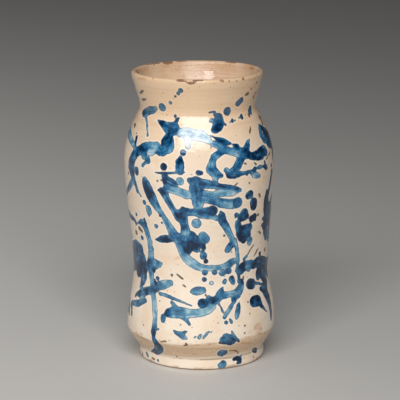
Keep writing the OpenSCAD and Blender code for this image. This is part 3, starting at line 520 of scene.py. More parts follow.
    [(115, 66, 3, 6), (122, 60, 3.6, 8), (131, 56, 3.2, 7), (140, 54, 1.8, 4)],
    [(160, 50, 3.2, 7), (169, 46, 3.6, 8), (179, 45, 3, 6), (187, 47, 1.6, 4)],
    [(205, 58, 3, 6), (214, 53, 3.8, 8), (224, 51, 3.4, 7), (233, 53, 2, 5)],
    [(240, 72, 3.6, 8), (248, 66, 4, 8), (254, 57, 3.2, 7), (257, 47, 2.2, 5), (258, 39, 1.2, 4)],
    [(118, 40, 2.8, 6), (126, 37, 3, 7), (134, 36, 1.6, 4)],
    # Back: prongs, drips and joins that run off the large strokes, thin lines and trails of drops
    [(112, 190, 4.8, 8), (106, 186, 3, 7), (101, 184, 1.6, 6), (97, 183.5, 0.8, 6)],
    [(120, 180, 4.8, 8), (126, 183, 2.6, 7), (131, 187, 1.4, 6), (134, 190, 0.7, 6)],
    [(127, 169, 4.6, 7), (134, 168, 2.2, 6), (141, 169, 1.4, 5), (147, 171, 0.8, 5)],
    [(132, 157, 3.8, 6), (127, 152, 2, 6), (124, 147, 1.1, 6), (122.5, 141, 0.8, 6)],
    [(137, 139, 1, 3), (138.5, 130, 0.9, 4), (139.5, 121, 1.3, 6)],
    [(138, 203, 4.4, 7), (136, 196, 2.4, 7), (135, 190, 1.2, 7), (134.6, 184, 0.8, 6)],
    [(149, 203, 5, 8), (152, 208, 2.2, 7), (153, 212, 1.2, 7)],
    [(169, 193, 2.4, 4), (177, 195, 1.5, 5), (186, 198, 2.4, 6)],
    [(165, 173, 5, 8), (172, 170, 2.6, 7), (178, 169, 3.6, 7)],
    [(163, 165, 3.4, 6), (161.5, 157, 1.6, 5), (160.5, 148, 1.1, 4), (160, 139, 1.6, 5)],
    [(193, 190, 5, 8), (199, 195, 3, 8), (204, 199, 1.8, 7), (208, 204, 2.4, 6)],
    [(202, 182, 5.4, 8), (198, 175, 3.2, 7), (196, 168, 1.8, 6), (195, 160, 1.1, 5), (194.6, 151, 0.9, 5)],
    [(213, 178, 4.6, 7), (217, 171, 2.6, 7), (219, 166, 1.4, 6)],
    [(224, 179, 3, 5), (230, 174, 2.2, 6), (235, 168, 1.3, 7), (238, 163, 0.7, 7)],
    [(250, 193, 5, 9), (244, 187, 3, 8), (239, 184, 1.6, 7)],
    [(257, 184, 4.6, 8), (263, 181, 2.4, 7), (268, 179, 1.2, 7)],
    [(150, 143, 4, 6), (144, 139, 2.4, 6), (139, 137, 1.1, 5)],
    [(162, 124, 4.6, 8), (168, 121, 3, 7), (176, 120, 2.4, 5)],
    [(185, 142, 5, 8), (183, 135, 3.2, 8), (182, 129, 1.6, 7), (181.6, 122, 1, 6)],
    [(195, 139, 6.2, 8), (199, 133, 4.4, 8), (203, 128, 2.2, 7)],
    [(205, 141, 3.8, 6), (210, 136, 2, 6), (216, 131, 3, 7)],
    [(225, 139, 5.4, 8), (231, 136, 3, 8), (237, 134, 1.4, 7), (241, 133.5, 0.7, 7)],
    [(219, 128, 4.6, 7), (213, 125, 2.4, 7), (208, 123.5, 1.1, 6)],
    [(247, 116, 3.6, 7), (242, 113, 2.2, 6), (237, 112, 1.2, 5), (231, 112, 2.6, 6)],
    [(246, 104, 4, 6), (241, 100, 2.2, 6), (237, 97, 1, 6)],
    [(104, 128, 5.6, 8), (107, 121, 3.4, 8), (109, 115, 1.8, 7), (110, 108, 1.1, 6)],
    [(111, 99, 4.6, 7), (117, 103, 2, 6), (122, 106, 1.2, 5)],
    [(189, 104, 5, 8), (183, 101, 2.6, 7), (177, 99, 1.2, 6)],
    [(192, 94, 4.4, 8), (198, 92, 2.2, 7), (204, 92, 1.8, 6)],
    [(190, 84, 3.4, 6), (191.5, 76, 1.4, 5), (192, 67, 1, 5), (192.3, 59, 1.4, 6)],
    [(213, 78, 5.2, 8), (217, 71, 2.8, 7), (219, 66, 1.2, 6)],
    [(203, 74, 4.2, 7), (200, 80, 2, 7), (198, 84, 1, 6)],
    [(149, 69, 4.8, 7), (147, 76, 2.4, 6), (146, 82, 1.2, 6)],
    [(150, 68, 3.4, 7), (151, 60, 1.7, 6), (151.6, 51, 1.2, 5), (152, 43, 1.5, 6), (152.4, 38, 0.8, 6)],
    [(97, 73, 5.2, 9), (103, 76, 2.6, 8), (108, 78, 1.2, 7)],
    [(101, 64, 4, 8), (107, 60, 2.2, 7), (114, 62, 2.6, 6)],
    [(131, 56, 3.8, 7), (134, 50, 1.8, 6), (135, 45, 1, 6)],
    [(169, 46, 4.4, 8), (166, 40, 2.2, 7), (165, 35, 1.1, 7)],
    [(214, 53, 4.6, 8), (211, 47, 2.4, 7), (210, 42, 1.2, 6)],
    [(224, 51, 4, 7), (229, 58, 1.8, 6), (232, 63, 1, 6)],
    [(248, 66, 4.8, 8), (243, 61, 2.4, 7), (240, 57, 1.2, 6)],
    [(254, 57, 3.8, 7), (260, 54, 1.8, 6), (265, 52, 1, 6)], [(84, 122, 5, 9)], [(72, 123, 5, 9)],
    [(86, 127, 3, 8), (89, 131, 1.6, 8), (91, 134, 0.8, 7)],
    [(76, 139, 3, 9), (79, 143, 1.8, 8), (81, 146, 0.9, 8)],
    [(87, 119, 3.4, 9), (92, 118, 2, 8), (96, 118.6, 0.9, 7)],
    [(84, 110, 4, 9), (85, 102, 1.8, 8), (85.4, 95, 1.1, 7), (85.6, 89, 1.5, 7)],
    [(86, 192, 4, 9), (91, 195, 2, 8), (95, 196.5, 1, 7)],
    [(83, 185, 4.6, 9), (80, 179, 2.2, 8), (78.6, 174, 1.1, 8)],
    [(90, 176, 3.4, 8), (85, 172, 1.8, 8), (82, 170.5, 0.9, 7)],
    [(99, 168, 3.4, 8), (103, 163, 1.8, 7), (105.5, 159, 0.9, 7)],
    [(73, 83, 5.4, 9), (79, 86, 3, 8), (84, 88.5, 1.4, 8)],
    [(74, 78, 4, 9), (78, 73, 2, 8), (80, 69, 1, 7)],
    [(120, 118, 1, 6), (126, 113, 1.8, 6), (134, 109, 2.2, 5), (143, 106, 2.4, 4), (152, 104.5, 2.2, 4),
     (160, 104, 2, 5)],
    [(196, 128, 1.2, 5), (203, 122, 1.6, 5), (207, 115, 1.4, 5), (204, 109, 1.2, 5), (198, 107, 1, 5)],
    [(228, 196, 1, 7), (233, 192, 1.8, 7), (238, 187, 1.2, 7)],
    [(172, 62, 0.9, 7), (180, 64, 1.4, 7), (189, 65.5, 1.2, 7), (198, 66, 0.7, 7)],
    [(243, 128, 0.8, 7), (238, 121, 1.3, 7), (233, 118, 1, 7), (229, 119, 0.7, 7)],
    [(124, 125, 0.8, 7), (131, 128, 0.9, 7), (139, 131.5, 0.6, 6)],
    [(168, 158, 0.7, 7), (176, 153, 1, 7), (184, 149, 0.6, 7)],
    [(205, 110, 0.6, 6), (211, 106, 1, 7), (218, 103, 0.6, 6)],
    [(228, 74, 0.7, 6), (235, 78, 0.9, 6), (240, 80.5, 0.6, 6)], [(172, 84, 1.8, 6)], [(169, 82, 1.3, 6)],
    [(166, 80.6, 0.9, 6)], [(218, 92, 1.9, 6)], [(220, 89, 1.4, 6)], [(221, 86.6, 1, 7)],
    [(118, 152, 1.8, 7)], [(116, 155, 1.3, 7)], [(114.6, 157.6, 0.9, 7)], [(209, 152, 2.2, 7)],
    [(213, 154, 1.3, 7)], [(215.6, 156, 0.9, 6)], [(95, 226, 3, 4)], [(140, 222, 3.4, 5)],
    [(165, 231, 2.6, 3)], [(205, 226, 3.2, 5)], [(238, 233, 2.4, 3)], [(176, 168, 4, 7)],
    [(187, 160, 3, 5)], [(200, 163, 2.2, 4)], [(244, 152, 3.4, 7)], [(241, 140, 2.4, 5)],
    [(110, 148, 3, 6)], [(132, 118, 3.2, 7)], [(126, 108, 2.2, 4)], [(142, 110, 2.4, 6)],
    [(175, 93, 2.4, 5)], [(230, 112, 3, 6)], [(197, 38, 2.8, 6)], [(236, 37, 2.4, 5)], [(150, 84, 2, 4)],
    [(224, 66, 2.2, 6)], [(108, 214, 2.2, 4), (112, 209, 1.2, 5)], [(172, 213, 1.6, 5), (176, 211, 1, 4)],
    [(226, 216, 1.8, 6)], [(104, 170, 1.6, 6), (106, 166, 1, 5)], [(143, 178, 2.2, 3)],
    [(181, 179, 1.4, 6)], [(218, 166, 1.6, 4)], [(246, 168, 1.4, 6), (243, 163, 1, 5)],
    [(120, 142, 1.4, 5)], [(172, 134, 1.8, 6), (175, 130, 1.1, 5)], [(202, 126, 2, 4)],
    [(237, 124, 1.5, 6)], [(98, 92, 1.8, 5)], [(138, 98, 1.2, 6)], [(206, 92, 1.7, 5)], [(240, 96, 2, 6)],
    [(108, 82, 1.4, 5)], [(176, 60, 1.8, 4)], [(192, 56, 1.3, 6)], [(148, 40, 1.6, 5)],
    [(212, 36, 1.4, 4), (216, 33, 0.9, 5)], [(110, 22, 2.4, 6), (114, 19, 1.6, 7)], [(168, 16, 2.6, 6)],
    [(228, 20, 2.2, 7), (232, 17, 1.4, 6)], [(140, 5, 2, 6)], [(206, 6, 1.8, 5)], [(248, 5, 1.6, 6)],
]
# Drops that fell last, on strokes that had dried, so each keeps its own outline
DROPS = [
    [(3.5, 87.1, 2.7, 7)], [(11.5, 87.1, 2.5, 7)], [(18.2, 86.2, 3.3, 5)], [(23.5, 87.3, 3.1, 6)],
    [(26.2, 95.4, 2.6, 6)], [(1, 60.9, 4.3, 7.6)], [(30.3, 146.4, 4.8, 8)], [(10, 141.2, 4.6, 8)],
    [(2.4, 119.3, 4, 6), (3.8, 116.6, 4.3, 6)], [(44.2, 111.4, 3.4, 4), (43.8, 109.3, 3, 4)],
    [(45.2, 72.6, 4.9, 8), (47.2, 72.2, 4.9, 8)], [(46.8, 57.3, 5, 9), (52.2, 56.8, 5, 9)],
    [(-30.9, 47.3, 2.7, 6), (-30.7, 44.5, 2.4, 7)], [(-14.2, 166.3, 3.6, 3)], [(-32.2, 134.8, 1.4, 9)],
    # The pale drop at -8 degrees, under the shoulder's highlight, is painted paler than it is as a painted
    # highlight
    [(-31, 128.8, 1.2, 9)], [(-11.8, 190.1, 2.8, 7)], [(-8.2, 197.6, 3, 0), (-8.1, 195.2, 2.5, 1)],
    [(-46, 184.4, 3.6, 6)], [(127, 169, 4.4, 8)], [(160, 181, 3.6, 9)], [(225, 139, 4.6, 9)],
    [(189, 104, 4.2, 9)], [(104, 128, 3.4, 9)], [(-25.6, 196.6, 3.2, 9)],
]
# Dark specks where the cobalt was flicked on thin and has gone brown with iron
FLICKS = [
    [(-68, 233.2, 0.8), (-64, 234.3, 1.5), (-58, 236.6, 0.7)],
    [(-67, 227.6, 1), (-62, 228.3, 1.4), (-56.5, 229.6, 0.6)], [(-75, 206, 0.8), (-71.5, 205, 1.8)],
    [(-63, 200, 1)], [(-69, 165, 1.5)], [(-32.5, 164.9, 1.3)], [(-29.2, 165.9, 1.2)], [(19.5, 118.8, 1.2)],
    [(50.5, 234, 1.6), (53, 234.8, 1.7)], [(51.8, 216.6, 0.8)], [(57, 215.5, 1.8)],
    [(48.7, 202.6, 1.1), (50.3, 204.5, 1), (52.3, 207.3, 0.7)],
    [(63, 178.3, 0.9), (68, 180.5, 0.8), (72, 182.3, 1)], [(48.3, 176.8, 1.2), (46.5, 178, 0.7)],
    [(38, 178.7, 0.9), (36.4, 179, 0.7)], [(61.5, 169.5, 1.4)], [(52.7, 132, 1.7)], [(51.3, 135.5, 0.8)],
    [(52.7, 149.7, 1.5), (53.7, 147.7, 1.3)], [(55.5, 116.5, 1), (58, 114.7, 1.2)],
    [(30.5, 163.7, 0.6), (29.5, 162.8, 0.8), (27.3, 161, 0.8)], [(41, 161.7, 1)], [(26.3, 103.5, 0.8)],
    [(42.5, 99, 0.9), (44.5, 101.5, 0.8), (47.5, 105, 0.7), (49.3, 106.3, 0.8)], [(53.7, 101, 0.8)],
    [(38, 80.3, 1), (37.7, 78.3, 1.3)], [(42.2, 79, 0.7)], [(40.5, 58.5, 1), (40.8, 57.3, 0.8)],
    [(41, 48.3, 1)], [(14.3, 27.2, 0.8), (17, 26.6, 0.5)], [(21.5, 25.4, 0.5), (24.5, 25, 0.8)],
    [(29.8, 26.6, 0.9), (31, 26, 0.7)], [(30.3, 39.8, 0.8)], [(35.6, 39, 1)], [(35.6, 32.6, 1)],
    [(33.5, 13.3, 1.2)], [(3.7, 67.7, 1.2), (4, 68.6, 0.7)],
    [(-20, 84.8, 0.8), (-17.5, 83, 1), (-15.2, 81.2, 0.8)], [(-24.7, 83.5, 1.3)],
    [(-14.7, 75.9, 0.7), (-13, 74.5, 0.7)], [(-0.6, 78.8, 0.6)], [(-24.6, 43.9, 0.8)], [(-16, 42.6, 0.8)],
    [(13, 44.3, 0.7)], [(-11, 26.3, 1.3), (-10, 25.5, 1), (-12.5, 24.7, 0.8)],
    [(-57.8, 119.3, 2.2), (-54, 117.2, 1.3)], [(-64.5, 114, 2.4)], [(-50, 36.3, 0.9)], [(78.2, 210.3, 2.6)],
    [(77.2, 206.3, 2.2)], [(10, 194.1, 1)], [(56, 101.8, 0.7), (53, 98.6, 0.8), (50.2, 95.6, 0.6)],
    [(88, 214, 1.2)], [(118, 231, 1.3), (121, 233, 0.8)], [(153, 214, 1)], [(190, 234, 1.2)],
    [(221, 229, 1.1)], [(85, 168, 1.2)], [(139, 170, 0.9)], [(205, 154, 1)], [(250, 148, 1.1)],
    [(117, 116, 1)], [(186, 128, 0.9)], [(236, 104, 1.2)], [(128, 92, 0.9)], [(167, 80, 1)],
    [(246, 84, 0.8)], [(111, 48, 1.1)], [(154, 58, 0.9)], [(183, 34, 1)], [(222, 42, 1.2)],
    [(255, 30, 0.9)],
]
# Worn places where the glaze has chipped or burst and the clay shows brown
WORN = [
    [(-18, 249.2, 0.7), (-15, 249, 1.1), (-12, 249.1, 1.2), (-9.5, 248.9, 0.9)],
    [(-8.5, 247.9, 0.8), (-6, 247.3, 1.3), (-3.5, 247.4, 1.1), (-1.5, 248.2, 0.7)],
    [(-3, 249.4, 0.6), (1, 249.5, 0.8), (5, 249.5, 0.5)], [(-41, 249.3, 0.5)], [(-72, 248.8, 0.6)],
    [(64, 249, 0.5)], [(20.3, 248.9, 0.8), (22.3, 248.4, 1.2)], [(28, 247.8, 0.8)], [(35.5, 247.5, 0.9)],
    [(42.8, 248.4, 1.2)], [(104, 249.4, 0.8)], [(128, 248.8, 0.9), (134, 249.3, 0.6)], [(171, 249.4, 0.7)],
    [(208, 249, 1.2), (213, 249.3, 0.8)], [(227, 249, 0.8)], [(57, 238, 1.2)], [(65, 242.5, 1.5)],
    [(63, 238.7, 0.8)], [(69.5, 233, 1.6)], [(67, 230, 1.6)], [(30, 242.3, 0.6)], [(69, 97.5, 2)],
    [(24, 17.8, 0.6), (28, 17.2, 0.7), (32, 15.5, 0.8)], [(55.5, 4.5, 1.2)], [(42.5, 6.3, 0.8)],
    [(-24.5, 28, 0.8)], [(-22, 11.5, 1)], [(-72, 42.5, 1.4), (-71, 41.3, 1.6)], [(-80, 38.5, 1)],
    [(-71, 2.5, 2)], [(-52, 4.5, 1.1), (-48, 4, 1)], [(-32, 25.5, 0.7), (-29, 26.3, 0.9), (-27, 26.8, 0.6)],
    [(116, 33, 1.4), (121, 32, 0.9)], [(187, 24, 1.2)], [(240, 27, 1)], [(158, 3.2, 1.3), (163, 3, 0.9)],
    [(100, 3.4, 1)], [(226, 3.2, 1.1)],
]
# Soft rusty stains in the glaze, round a flake on the heel, over the bevel and on the body. Round the flake
# they are partly painted shade along its edge
STAINS_AND_FLAKE_SHADE = [
    [(46, 34.5, 1.2), (47, 36.4, 1.3), (49.5, 37.2, 1.2), (52, 36.3, 1)],
    [(48.5, 33, 1), (51.5, 34, 1.3), (54, 31.5, 1.2)], [(48, 29, 0.9), (52, 29.6, 0.9)],
    [(-22.2, 97.8, 0.1), (-19, 98.4, 0.4), (-16.5, 100.4, 0.1)], [(-18.8, 100.5, 0.1)],
    [(-37, 25, 1), (-33, 26, 1.2)], [(-12, 25.6, 0.9), (-7, 26, 1)],
    [(29, 25, 1.2), (34, 24, 1), (43, 21.5, 0.8)], [(-60, 26.5, 1), (-52, 27.4, 1.1)],
    [(-62, 247.2, 0.8), (-50, 247.6, 0.8)], [(50, 247, 0.8), (60, 246.6, 1)],
    [(120, 60, 1.4), (126, 58, 1)], [(180, 30, 1.4), (190, 31, 1)], [(232, 246, 1.2), (244, 245.6, 1)],
    [(150, 246, 1.2)],
]

# The coat starts at its hem, is rippled by the thrower's fingers, and needs few points on its back,
# where it lies on the clay. All in mm
COAT_TURNS = 360
HEM = 1.0
RIPPLE = 0.03
RIPPLED = (30, 240)
BEVEL_STEPS = 15
BACK = (246.8, 238, 231, 226.5, 224, 222, 220, 217.5, 214, 208, 200, 190, 181, 173, 160, 145, 125, 106,
        92, 79, 66, 52, 40, 29)
coat_face = (
    [(FOOT_R - GLAZE, HEM), (FOOT_R - 0.2, HEM + 0.1), (FOOT_R, HEM + 0.6)]
    + [(FOOT_R, z) for z in (2.6, 3.7, 4.8, 5.9, 7, 7.8, 8.6)] + [(FOOT_R + 0.05, FOOT_Z + 0.05)]
    + [(FOOT_R + (HEEL_R - FOOT_R) * k / BEVEL_STEPS, FOOT_Z + (HEEL_Z - FOOT_Z) * k / BEVEL_STEPS)
       for k in range(1, BEVEL_STEPS)]
    + curve(OUTSIDE, 0.0, 206) + arc(LIP, LIP[2], LIP_OUT, 90, 6)[1:])
coat_face = [(r + RIPPLE * math.sin(z * 0.83 + 1.7 * math.sin(z * 0.11)) * (RIPPLED[0] < z < RIPPLED[1]), z)
             for r, z in coat_face]
coat_back = (
    arc(LIP, LIP[2] - GLAZE, 90, LIP_OUT, 6)
    + [(curve_radius(OUTSIDE, z) - GLAZE, z) for z in BACK[1:] + (25.5, HEEL_Z)]
    + [(FOOT_R - GLAZE, FOOT_Z), coat_face[0]])
outer_coat = thrown("jar_outer_glaze", coat_face + coat_back, COAT_TURNS)


def round_the_jar(mesh):
    """The angle from the front, in degrees, and the height, in mm, of each point of a thrown piece."""
    at = np.empty(len(mesh.vertices) * 3)
    mesh.vertices.foreach_get("co", at)
    at = at.reshape(-1, 3) / MM
    return np.degrees(np.arctan2(at[:, 0], -at[:, 1])), at[:, 2]


# In mm: how far wide strokes have spread in the glaze, the depth given to what lies far outside, how far
# round a stroke is worked out, how far two strokes share their strength and run together, the shift that
# gives each stroke its own streaks, and the mean radius of the foot and bevel
SPREAD = 0.65
FAR = 6.0
REACH = 5.0
SHARED = 0.7
RUN = 1.0
SHIFT = 17.3
BEVEL_R = 56.0
# Degrees round the jar for a millimetre, rounded up from its narrowest, and the strength of thick cobalt
TURN_PER_MM = 1.2
FULL = 9


def laid_on(angle, height, splashes, spread=0.0):
    """How deep each point lies inside the splashes, in mm and below zero outside, their strength there,
    and how far across and along its stroke it lies. Wide strokes have spread in the glaze a little."""
    depth = np.full(angle.shape, -FAR)
    strength, weight = np.zeros(angle.shape), np.full(angle.shape, 1e-9)
    across, along = np.zeros(angle.shape), np.zeros(angle.shape)
    for number, splash in enumerate(splashes):
        turns, levels, widths = [[point[k] for point in splash] for k in range(3)]
        reach = max(widths) + REACH
        beside = np.abs((angle - (min(turns) + max(turns)) / 2 + 180) % 360 - 180)
        near = np.flatnonzero((beside < (max(turns) - min(turns)) / 2 + reach * TURN_PER_MM)
                              & (height > min(levels) - reach) & (height < max(levels) + reach))
        own = np.full(near.shape, -FAR)
        own_strength, own_across, own_along = np.zeros((3,) + near.shape)
        gone = 0.0
        for a, b in zip(splash, splash[1:] or splash):
            girth = math.pi / 180 * (curve_radius(OUTSIDE, (a[1] + b[1]) / 2) if a[1] > HEEL_Z else BEVEL_R)
            u = ((angle[near] - a[0] + 180) % 360 - 180) * girth
            v = height[near] - a[1]
            du, dv = (b[0] - a[0]) * girth, b[1] - a[1]
            length = max(math.hypot(du, dv), 0.001)
            share = np.clip((u * du + v * dv) / length**2, 0, 1)
            wide = a[2] + (b[2] - a[2]) * share
            wide = wide + spread * np.clip((wide - 0.8) / 1.4, 0, 1) * (len(splash) > 1)
            d = wide - np.hypot(u - du * share, v - dv * share)
            nearer = d > own
            own = np.where(nearer, d, own)
            own_across = np.where(nearer, (u * dv - v * du) / length + SHIFT * number, own_across)
            own_along = np.where(nearer, gone + share * length, own_along)
            own_strength = np.where(nearer, a[-1] + (b[-1] - a[-1]) * share, own_strength)
            gone += length
        pull = np.exp(np.clip(own, -FAR, FAR) / SHARED)
        strength[near] += pull * own_strength
        weight[near] += pull
        before = depth[near]
        across[near] = np.where(own > before, own_across, across[near])
        along[near] = np.where(own > before, own_along, along[near])
        # Two wet strokes that touch run together a little
        meet = np.maximum(RUN - np.abs(own - before), 0.0)
        depth[near] = np.maximum(own, before) + meet * meet / 4
    return depth, strength / weight, across, along


def keep(mesh, name, values):
    """Stores a value for each point of a mesh, for its shader to read."""
    mesh.attributes.new(name=name, type="FLOAT", domain="POINT").data.foreach_set(
        "value", np.ascontiguousarray(values, dtype=np.float32))


angle, height = round_the_jar(outer_coat.data)
cobalt, strength, across, along = laid_on(angle, height, SPLASHES, SPREAD)
keep(outer_coat.data, "cobalt", cobalt)
keep(outer_coat.data, "strength", strength / FULL)
keep(outer_coat.data, "across", across)
keep(outer_coat.data, "along", along)
drops, strength = laid_on(angle, height, DROPS)[:2]
keep(outer_coat.data, "drops", drops)
keep(outer_coat.data, "drop_strength", strength / FULL)
for name, marks in (("flicks", FLICKS), ("worn", WORN), ("stains_and_flake_shade", STAINS_AND_FLAKE_SHADE)):
    keep(outer_coat.data, name, laid_on(angle, height, marks)[0])
# The turned bevel shows as a tan band, partly glaze that ran thin and partly painted shade, since the bevel
# faces down; its edges wander round the jar
swing = np.radians(angle)
band_top = 26.6 + 1.2 * np.sin(swing + 0.2) + 1.4 * np.sin(3 * swing - 0.15)
band_foot = 11.9 + 1.3 * np.sin(swing + 0.4) + 0.4 * np.sin(4 * swing)
keep(outer_coat.data, "bevel", np.minimum(band_top - height, height - band_foot))
keep(outer_coat.data, "bevel_top", band_top - height)
lean(outer_coat)

CREAM = shade("f1ddc6")
CREAM_WARM = shade("f0d0ad")
CREAM_WHITE = shade("fdedd9")
HALO_WHITE = shade("f6eee4")
NECK_TAN = shade("deb78c")
NECK_SMEAR = shade("c9a27c")
BEVEL_TAN = shade("e4c29d")
BEVEL_BROWN = shade("c09a6e")
BEVEL_LINE = shade("9a7045")
RUST_AND_SHADE = shade("c58a52")
PINHOLE = shade("8a6a4b")
COBALT = ("bacad1", "8bb2c4", "598fad", "2f6d96", "0d4a73", "01213f")
COBALT_EDGE = shade("153a54")
COBALT_NECK_SHADE = shade("4c6068")
COBALT_LOW_LIGHT = shade("b9d8d6")
FLICK_BROWN = shade("4a4234")
CHIP_BROWN = shade("7c5335")
COAT_IOR = 1.53

splashed_glaze, tree, spot = blank_material("splashed_tin_glaze")
up = put(tree, "SeparateXYZ", None, Vector=spot).outputs["Z"]
rings = put(tree, "Mapping", None, Vector=spot, Scale=(5.0, 5.0, 300.0)).outputs[0]
laid = {name: put(tree, "Attribute", {"attribute_name": name}).outputs["Fac"]
        for name in ("cobalt", "strength", "across", "along", "drops", "drop_strength", "flicks", "worn",
                     "stains_and_flake_shade", "bevel", "bevel_top")}

# The glaze itself: cream with painted light whitening it towards the foot, warmer in patches and on the
# neck, with pinholes
mottle = cloud(tree, spot, 38.0, 4.0, 0.6)
fine = cloud(tree, spot, 210.0, 3.0)
# Painted light: the cream whitens towards the foot, for the extra light on the lower body
colour = over(tree, ease(tree, up, 0.13, 0.05, 0.0, 0.85), CREAM, CREAM_WHITE)
colour = over(tree, ease(tree, mottle, 0.42, 0.72, 0.0, 0.6), colour, CREAM_WARM)
colour = over(tree, ease(tree, fine, 0.5, 0.75, 0.0, 0.35), colour, CREAM_WHITE)
# The neck's tan is the glaze's own colour; where it starts low on the shoulder it also darkens the cream as
# painted shade
colour = over(tree, ease(tree, up, 0.165, 0.235, 0.0, 0.65), colour, NECK_TAN)
colour = over(tree, ease(tree, cloud(tree, rings, 4.0, 3.0), 0.5, 0.8, 0.0, 0.1), colour, NECK_TAN)
smears = ease(tree, cloud(tree, rings, 0.8, 3.0), 0.42, 0.66)
smears = times(tree, smears, ease(tree, up, 0.19, 0.215, 0.0, 0.24))
colour = over(tree, smears, colour, NECK_SMEAR)
# Painted shade: the tan band, streaked by the turning, darkens the downward-facing bevel
shaded_bevel_band = ease(tree, scaled(tree, fine, 1.6, calc(tree, "ADD", laid["bevel"], -0.8)), -0.8, 1.4)
shade_and_turning = over(tree, ease(tree, cloud(tree, rings, 7.0, 4.0), 0.4, 0.7), BEVEL_TAN, BEVEL_BROWN)
colour = over(tree, times(tree, shaded_bevel_band, 0.8), colour, shade_and_turning)
# Brown lines, broken here and there: along the top of the bevel, in the crease under it and at the hem
broken = ease(tree, cloud(tree, spot, 55.0, 3.0), 0.44, 0.6)
line = ease(tree, laid["bevel_top"], -0.5, 0.3)
line = times(tree, line, ease(tree, laid["bevel_top"], 0.6, 2.2, 1.0, 0.0))
crease = ease(tree, calc(tree, "ABSOLUTE", calc(tree, "SUBTRACT", up, 0.0095)), 0.0002, 0.0011, 1.0, 0.0)
line = calc(tree, "MAXIMUM", calc(tree, "MAXIMUM", line, crease), ease(tree, up, 0.0015, 0.004, 1.0, 0.0))
colour = over(tree, times(tree, times(tree, line, broken), 0.6), colour, BEVEL_LINE)
# Rusty stains, and painted shade along the edge of the heel's flake
rust_and_shade_share = times(tree, ease(tree, laid["stains_and_flake_shade"], -1.4, 0.9), ease(tree, fine, 0.35, 0.65, 0.2, 0.6))
colour = over(tree, rust_and_shade_share, colour, RUST_AND_SHADE)
holes = specks(tree, 330.0, 0.2, 0.2)
colour = over(tree, times(tree, holes, 0.7), colour, PINHOLE)

# The cobalt: its edge wavers, it pools dark along the edge, and the brush leaves streaks along it
waver = scaled(tree, cloud(tree, spot, 420.0, 2.0), 0.9, -0.45)
waver = scaled(tree, cloud(tree, spot, 150.0, 2.0), 1.0, calc(tree, "ADD", waver, -0.5))
grain = put(tree, "CombineXYZ", None, X=laid["across"], Y=times(tree, laid["along"], 0.12)).outputs[0]
blots = scaled(tree, cloud(tree, spot, 140.0, 3.0), 1.6, -0.8)
streaks = scaled(tree, cloud(tree, grain, 0.45, 1.0), 0.7, calc(tree, "ADD", blots, -0.35))


def cobalt_colour(inside, strength, uneven):
    """The blue of one layer: by strength, deeper in the middle, greyed on the neck as painted shade, paler
    low down as painted light, pooled dark along the edge."""
    deep = calc(tree, "ADD", scaled(tree, strength, 0.95, -0.06), uneven)
    deep = calc(tree, "ADD", deep, ease(tree, inside, 0.2, 2.6, -0.06, 0.08))
    ramp = put(tree, "ValToRGB", None, Fac=deep)
    marks = ramp.color_ramp.elements
    for k in range(1, len(COBALT) - 1):
        marks.new(k / (len(COBALT) - 1))
    for mark, code in zip(marks, COBALT):
        mark.color = shade(code)
    # Painted shade: the blue is greyed on the neck, which turns down and away from the light
    blue = over(tree, ease(tree, up, 0.211, 0.22, 0.0, 0.55), ramp.outputs[0], COBALT_NECK_SHADE)
    # Painted light: pale strokes are lightened towards the foot, like the cream there
    low_painted_light = times(tree, ease(tree, up, 0.12, 0.06, 0.0, 0.2), calc(tree, "SUBTRACT", 1.0, strength))
    blue = over(tree, low_painted_light, blue, COBALT_LOW_LIGHT)
    pooled = ease(tree, strength, 0.03, 0.2, 0.1, 0.75)
    pooled = times(tree, ease(tree, inside, 0.2, 1.1, 1.0, 0.0), pooled)
    return over(tree, pooled, blue, COBALT_EDGE)


inside = calc(tree, "ADD", laid["cobalt"], waver)
painted = ease(tree, inside, -0.25, 0.35)
inside_drops = calc(tree, "ADD", laid["drops"], times(tree, waver, 0.7))
dropped = ease(tree, inside_drops, -0.25, 0.35)
outside = calc(tree, "SUBTRACT", 1.0, calc(tree, "MAXIMUM", painted, dropped))
halo = ease(tree, calc(tree, "MAXIMUM", inside, inside_drops), -1.7, -0.3)
halo = times(tree, halo, ease(tree, up, 0.205, 0.22, 1.0, 0.3))
colour = over(tree, times(tree, times(tree, halo, outside), 0.5), colour, HALO_WHITE)
thin = times(tree, painted, ease(tree, laid["strength"], 0.0, 0.15, 0.5, 1.0))
colour = over(tree, thin, colour, cobalt_colour(inside, laid["strength"], streaks))
thin = times(tree, dropped, ease(tree, laid["drop_strength"], 0.0, 0.15, 0.5, 1.0))
colour = over(tree, thin, colour, cobalt_colour(inside_drops, laid["drop_strength"], blots))

# Specks and worn places lie over everything
flicked = ease(tree, calc(tree, "ADD", laid["flicks"], waver), -0.25, 0.35)
colour = over(tree, times(tree, flicked, 0.9), colour, FLICK_BROWN)
chipped = ease(tree, calc(tree, "ADD", laid["worn"], waver), -0.2, 0.3)
chip_colour = over(tree, ease(tree, fine, 0.5, 0.8, 0.0, 0.8), CHIP_BROWN, BUFF_PALE)
colour = over(tree, times(tree, chipped, 0.9), colour, chip_colour)

gloss = ease(tree, fine, 0.3, 0.75, 0.08, 0.16)
gloss = scaled(tree, chipped, 0.5, scaled(tree, shaded_bevel_band, 0.18, gloss))
relief = scaled(tree, cloud(tree, rings, 3.0, 3.0), 0.2, cloud(tree, spot, 70.0, 3.0))
relief = scaled(tree, holes, -0.35, relief)
relief = scaled(tree, outside, -0.12, scaled(tree, chipped, -0.8, relief))
relief = scaled(tree, cloud(tree, spot, 330.0, 3.0), 0.5, relief)
bump = put(tree, "Bump", None, Strength=0.35, Distance=0.0009, Height=relief)
surface = put(tree, "BsdfPrincipled", None, Base_Color=colour, Roughness=gloss, Normal=bump.outputs[0],
              IOR=COAT_IOR)
cover(outer_coat, splashed_glaze, surface)
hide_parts("outer_glaze", "cobalt_splashes")
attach(outer_coat, "root")

# The inner glaze.
# The same tin glaze poured into the jar and swilled round, from the crest of the lip over the wall
# and floor. It lies thinner and pinker than outside, and has chipped brown along the lip.

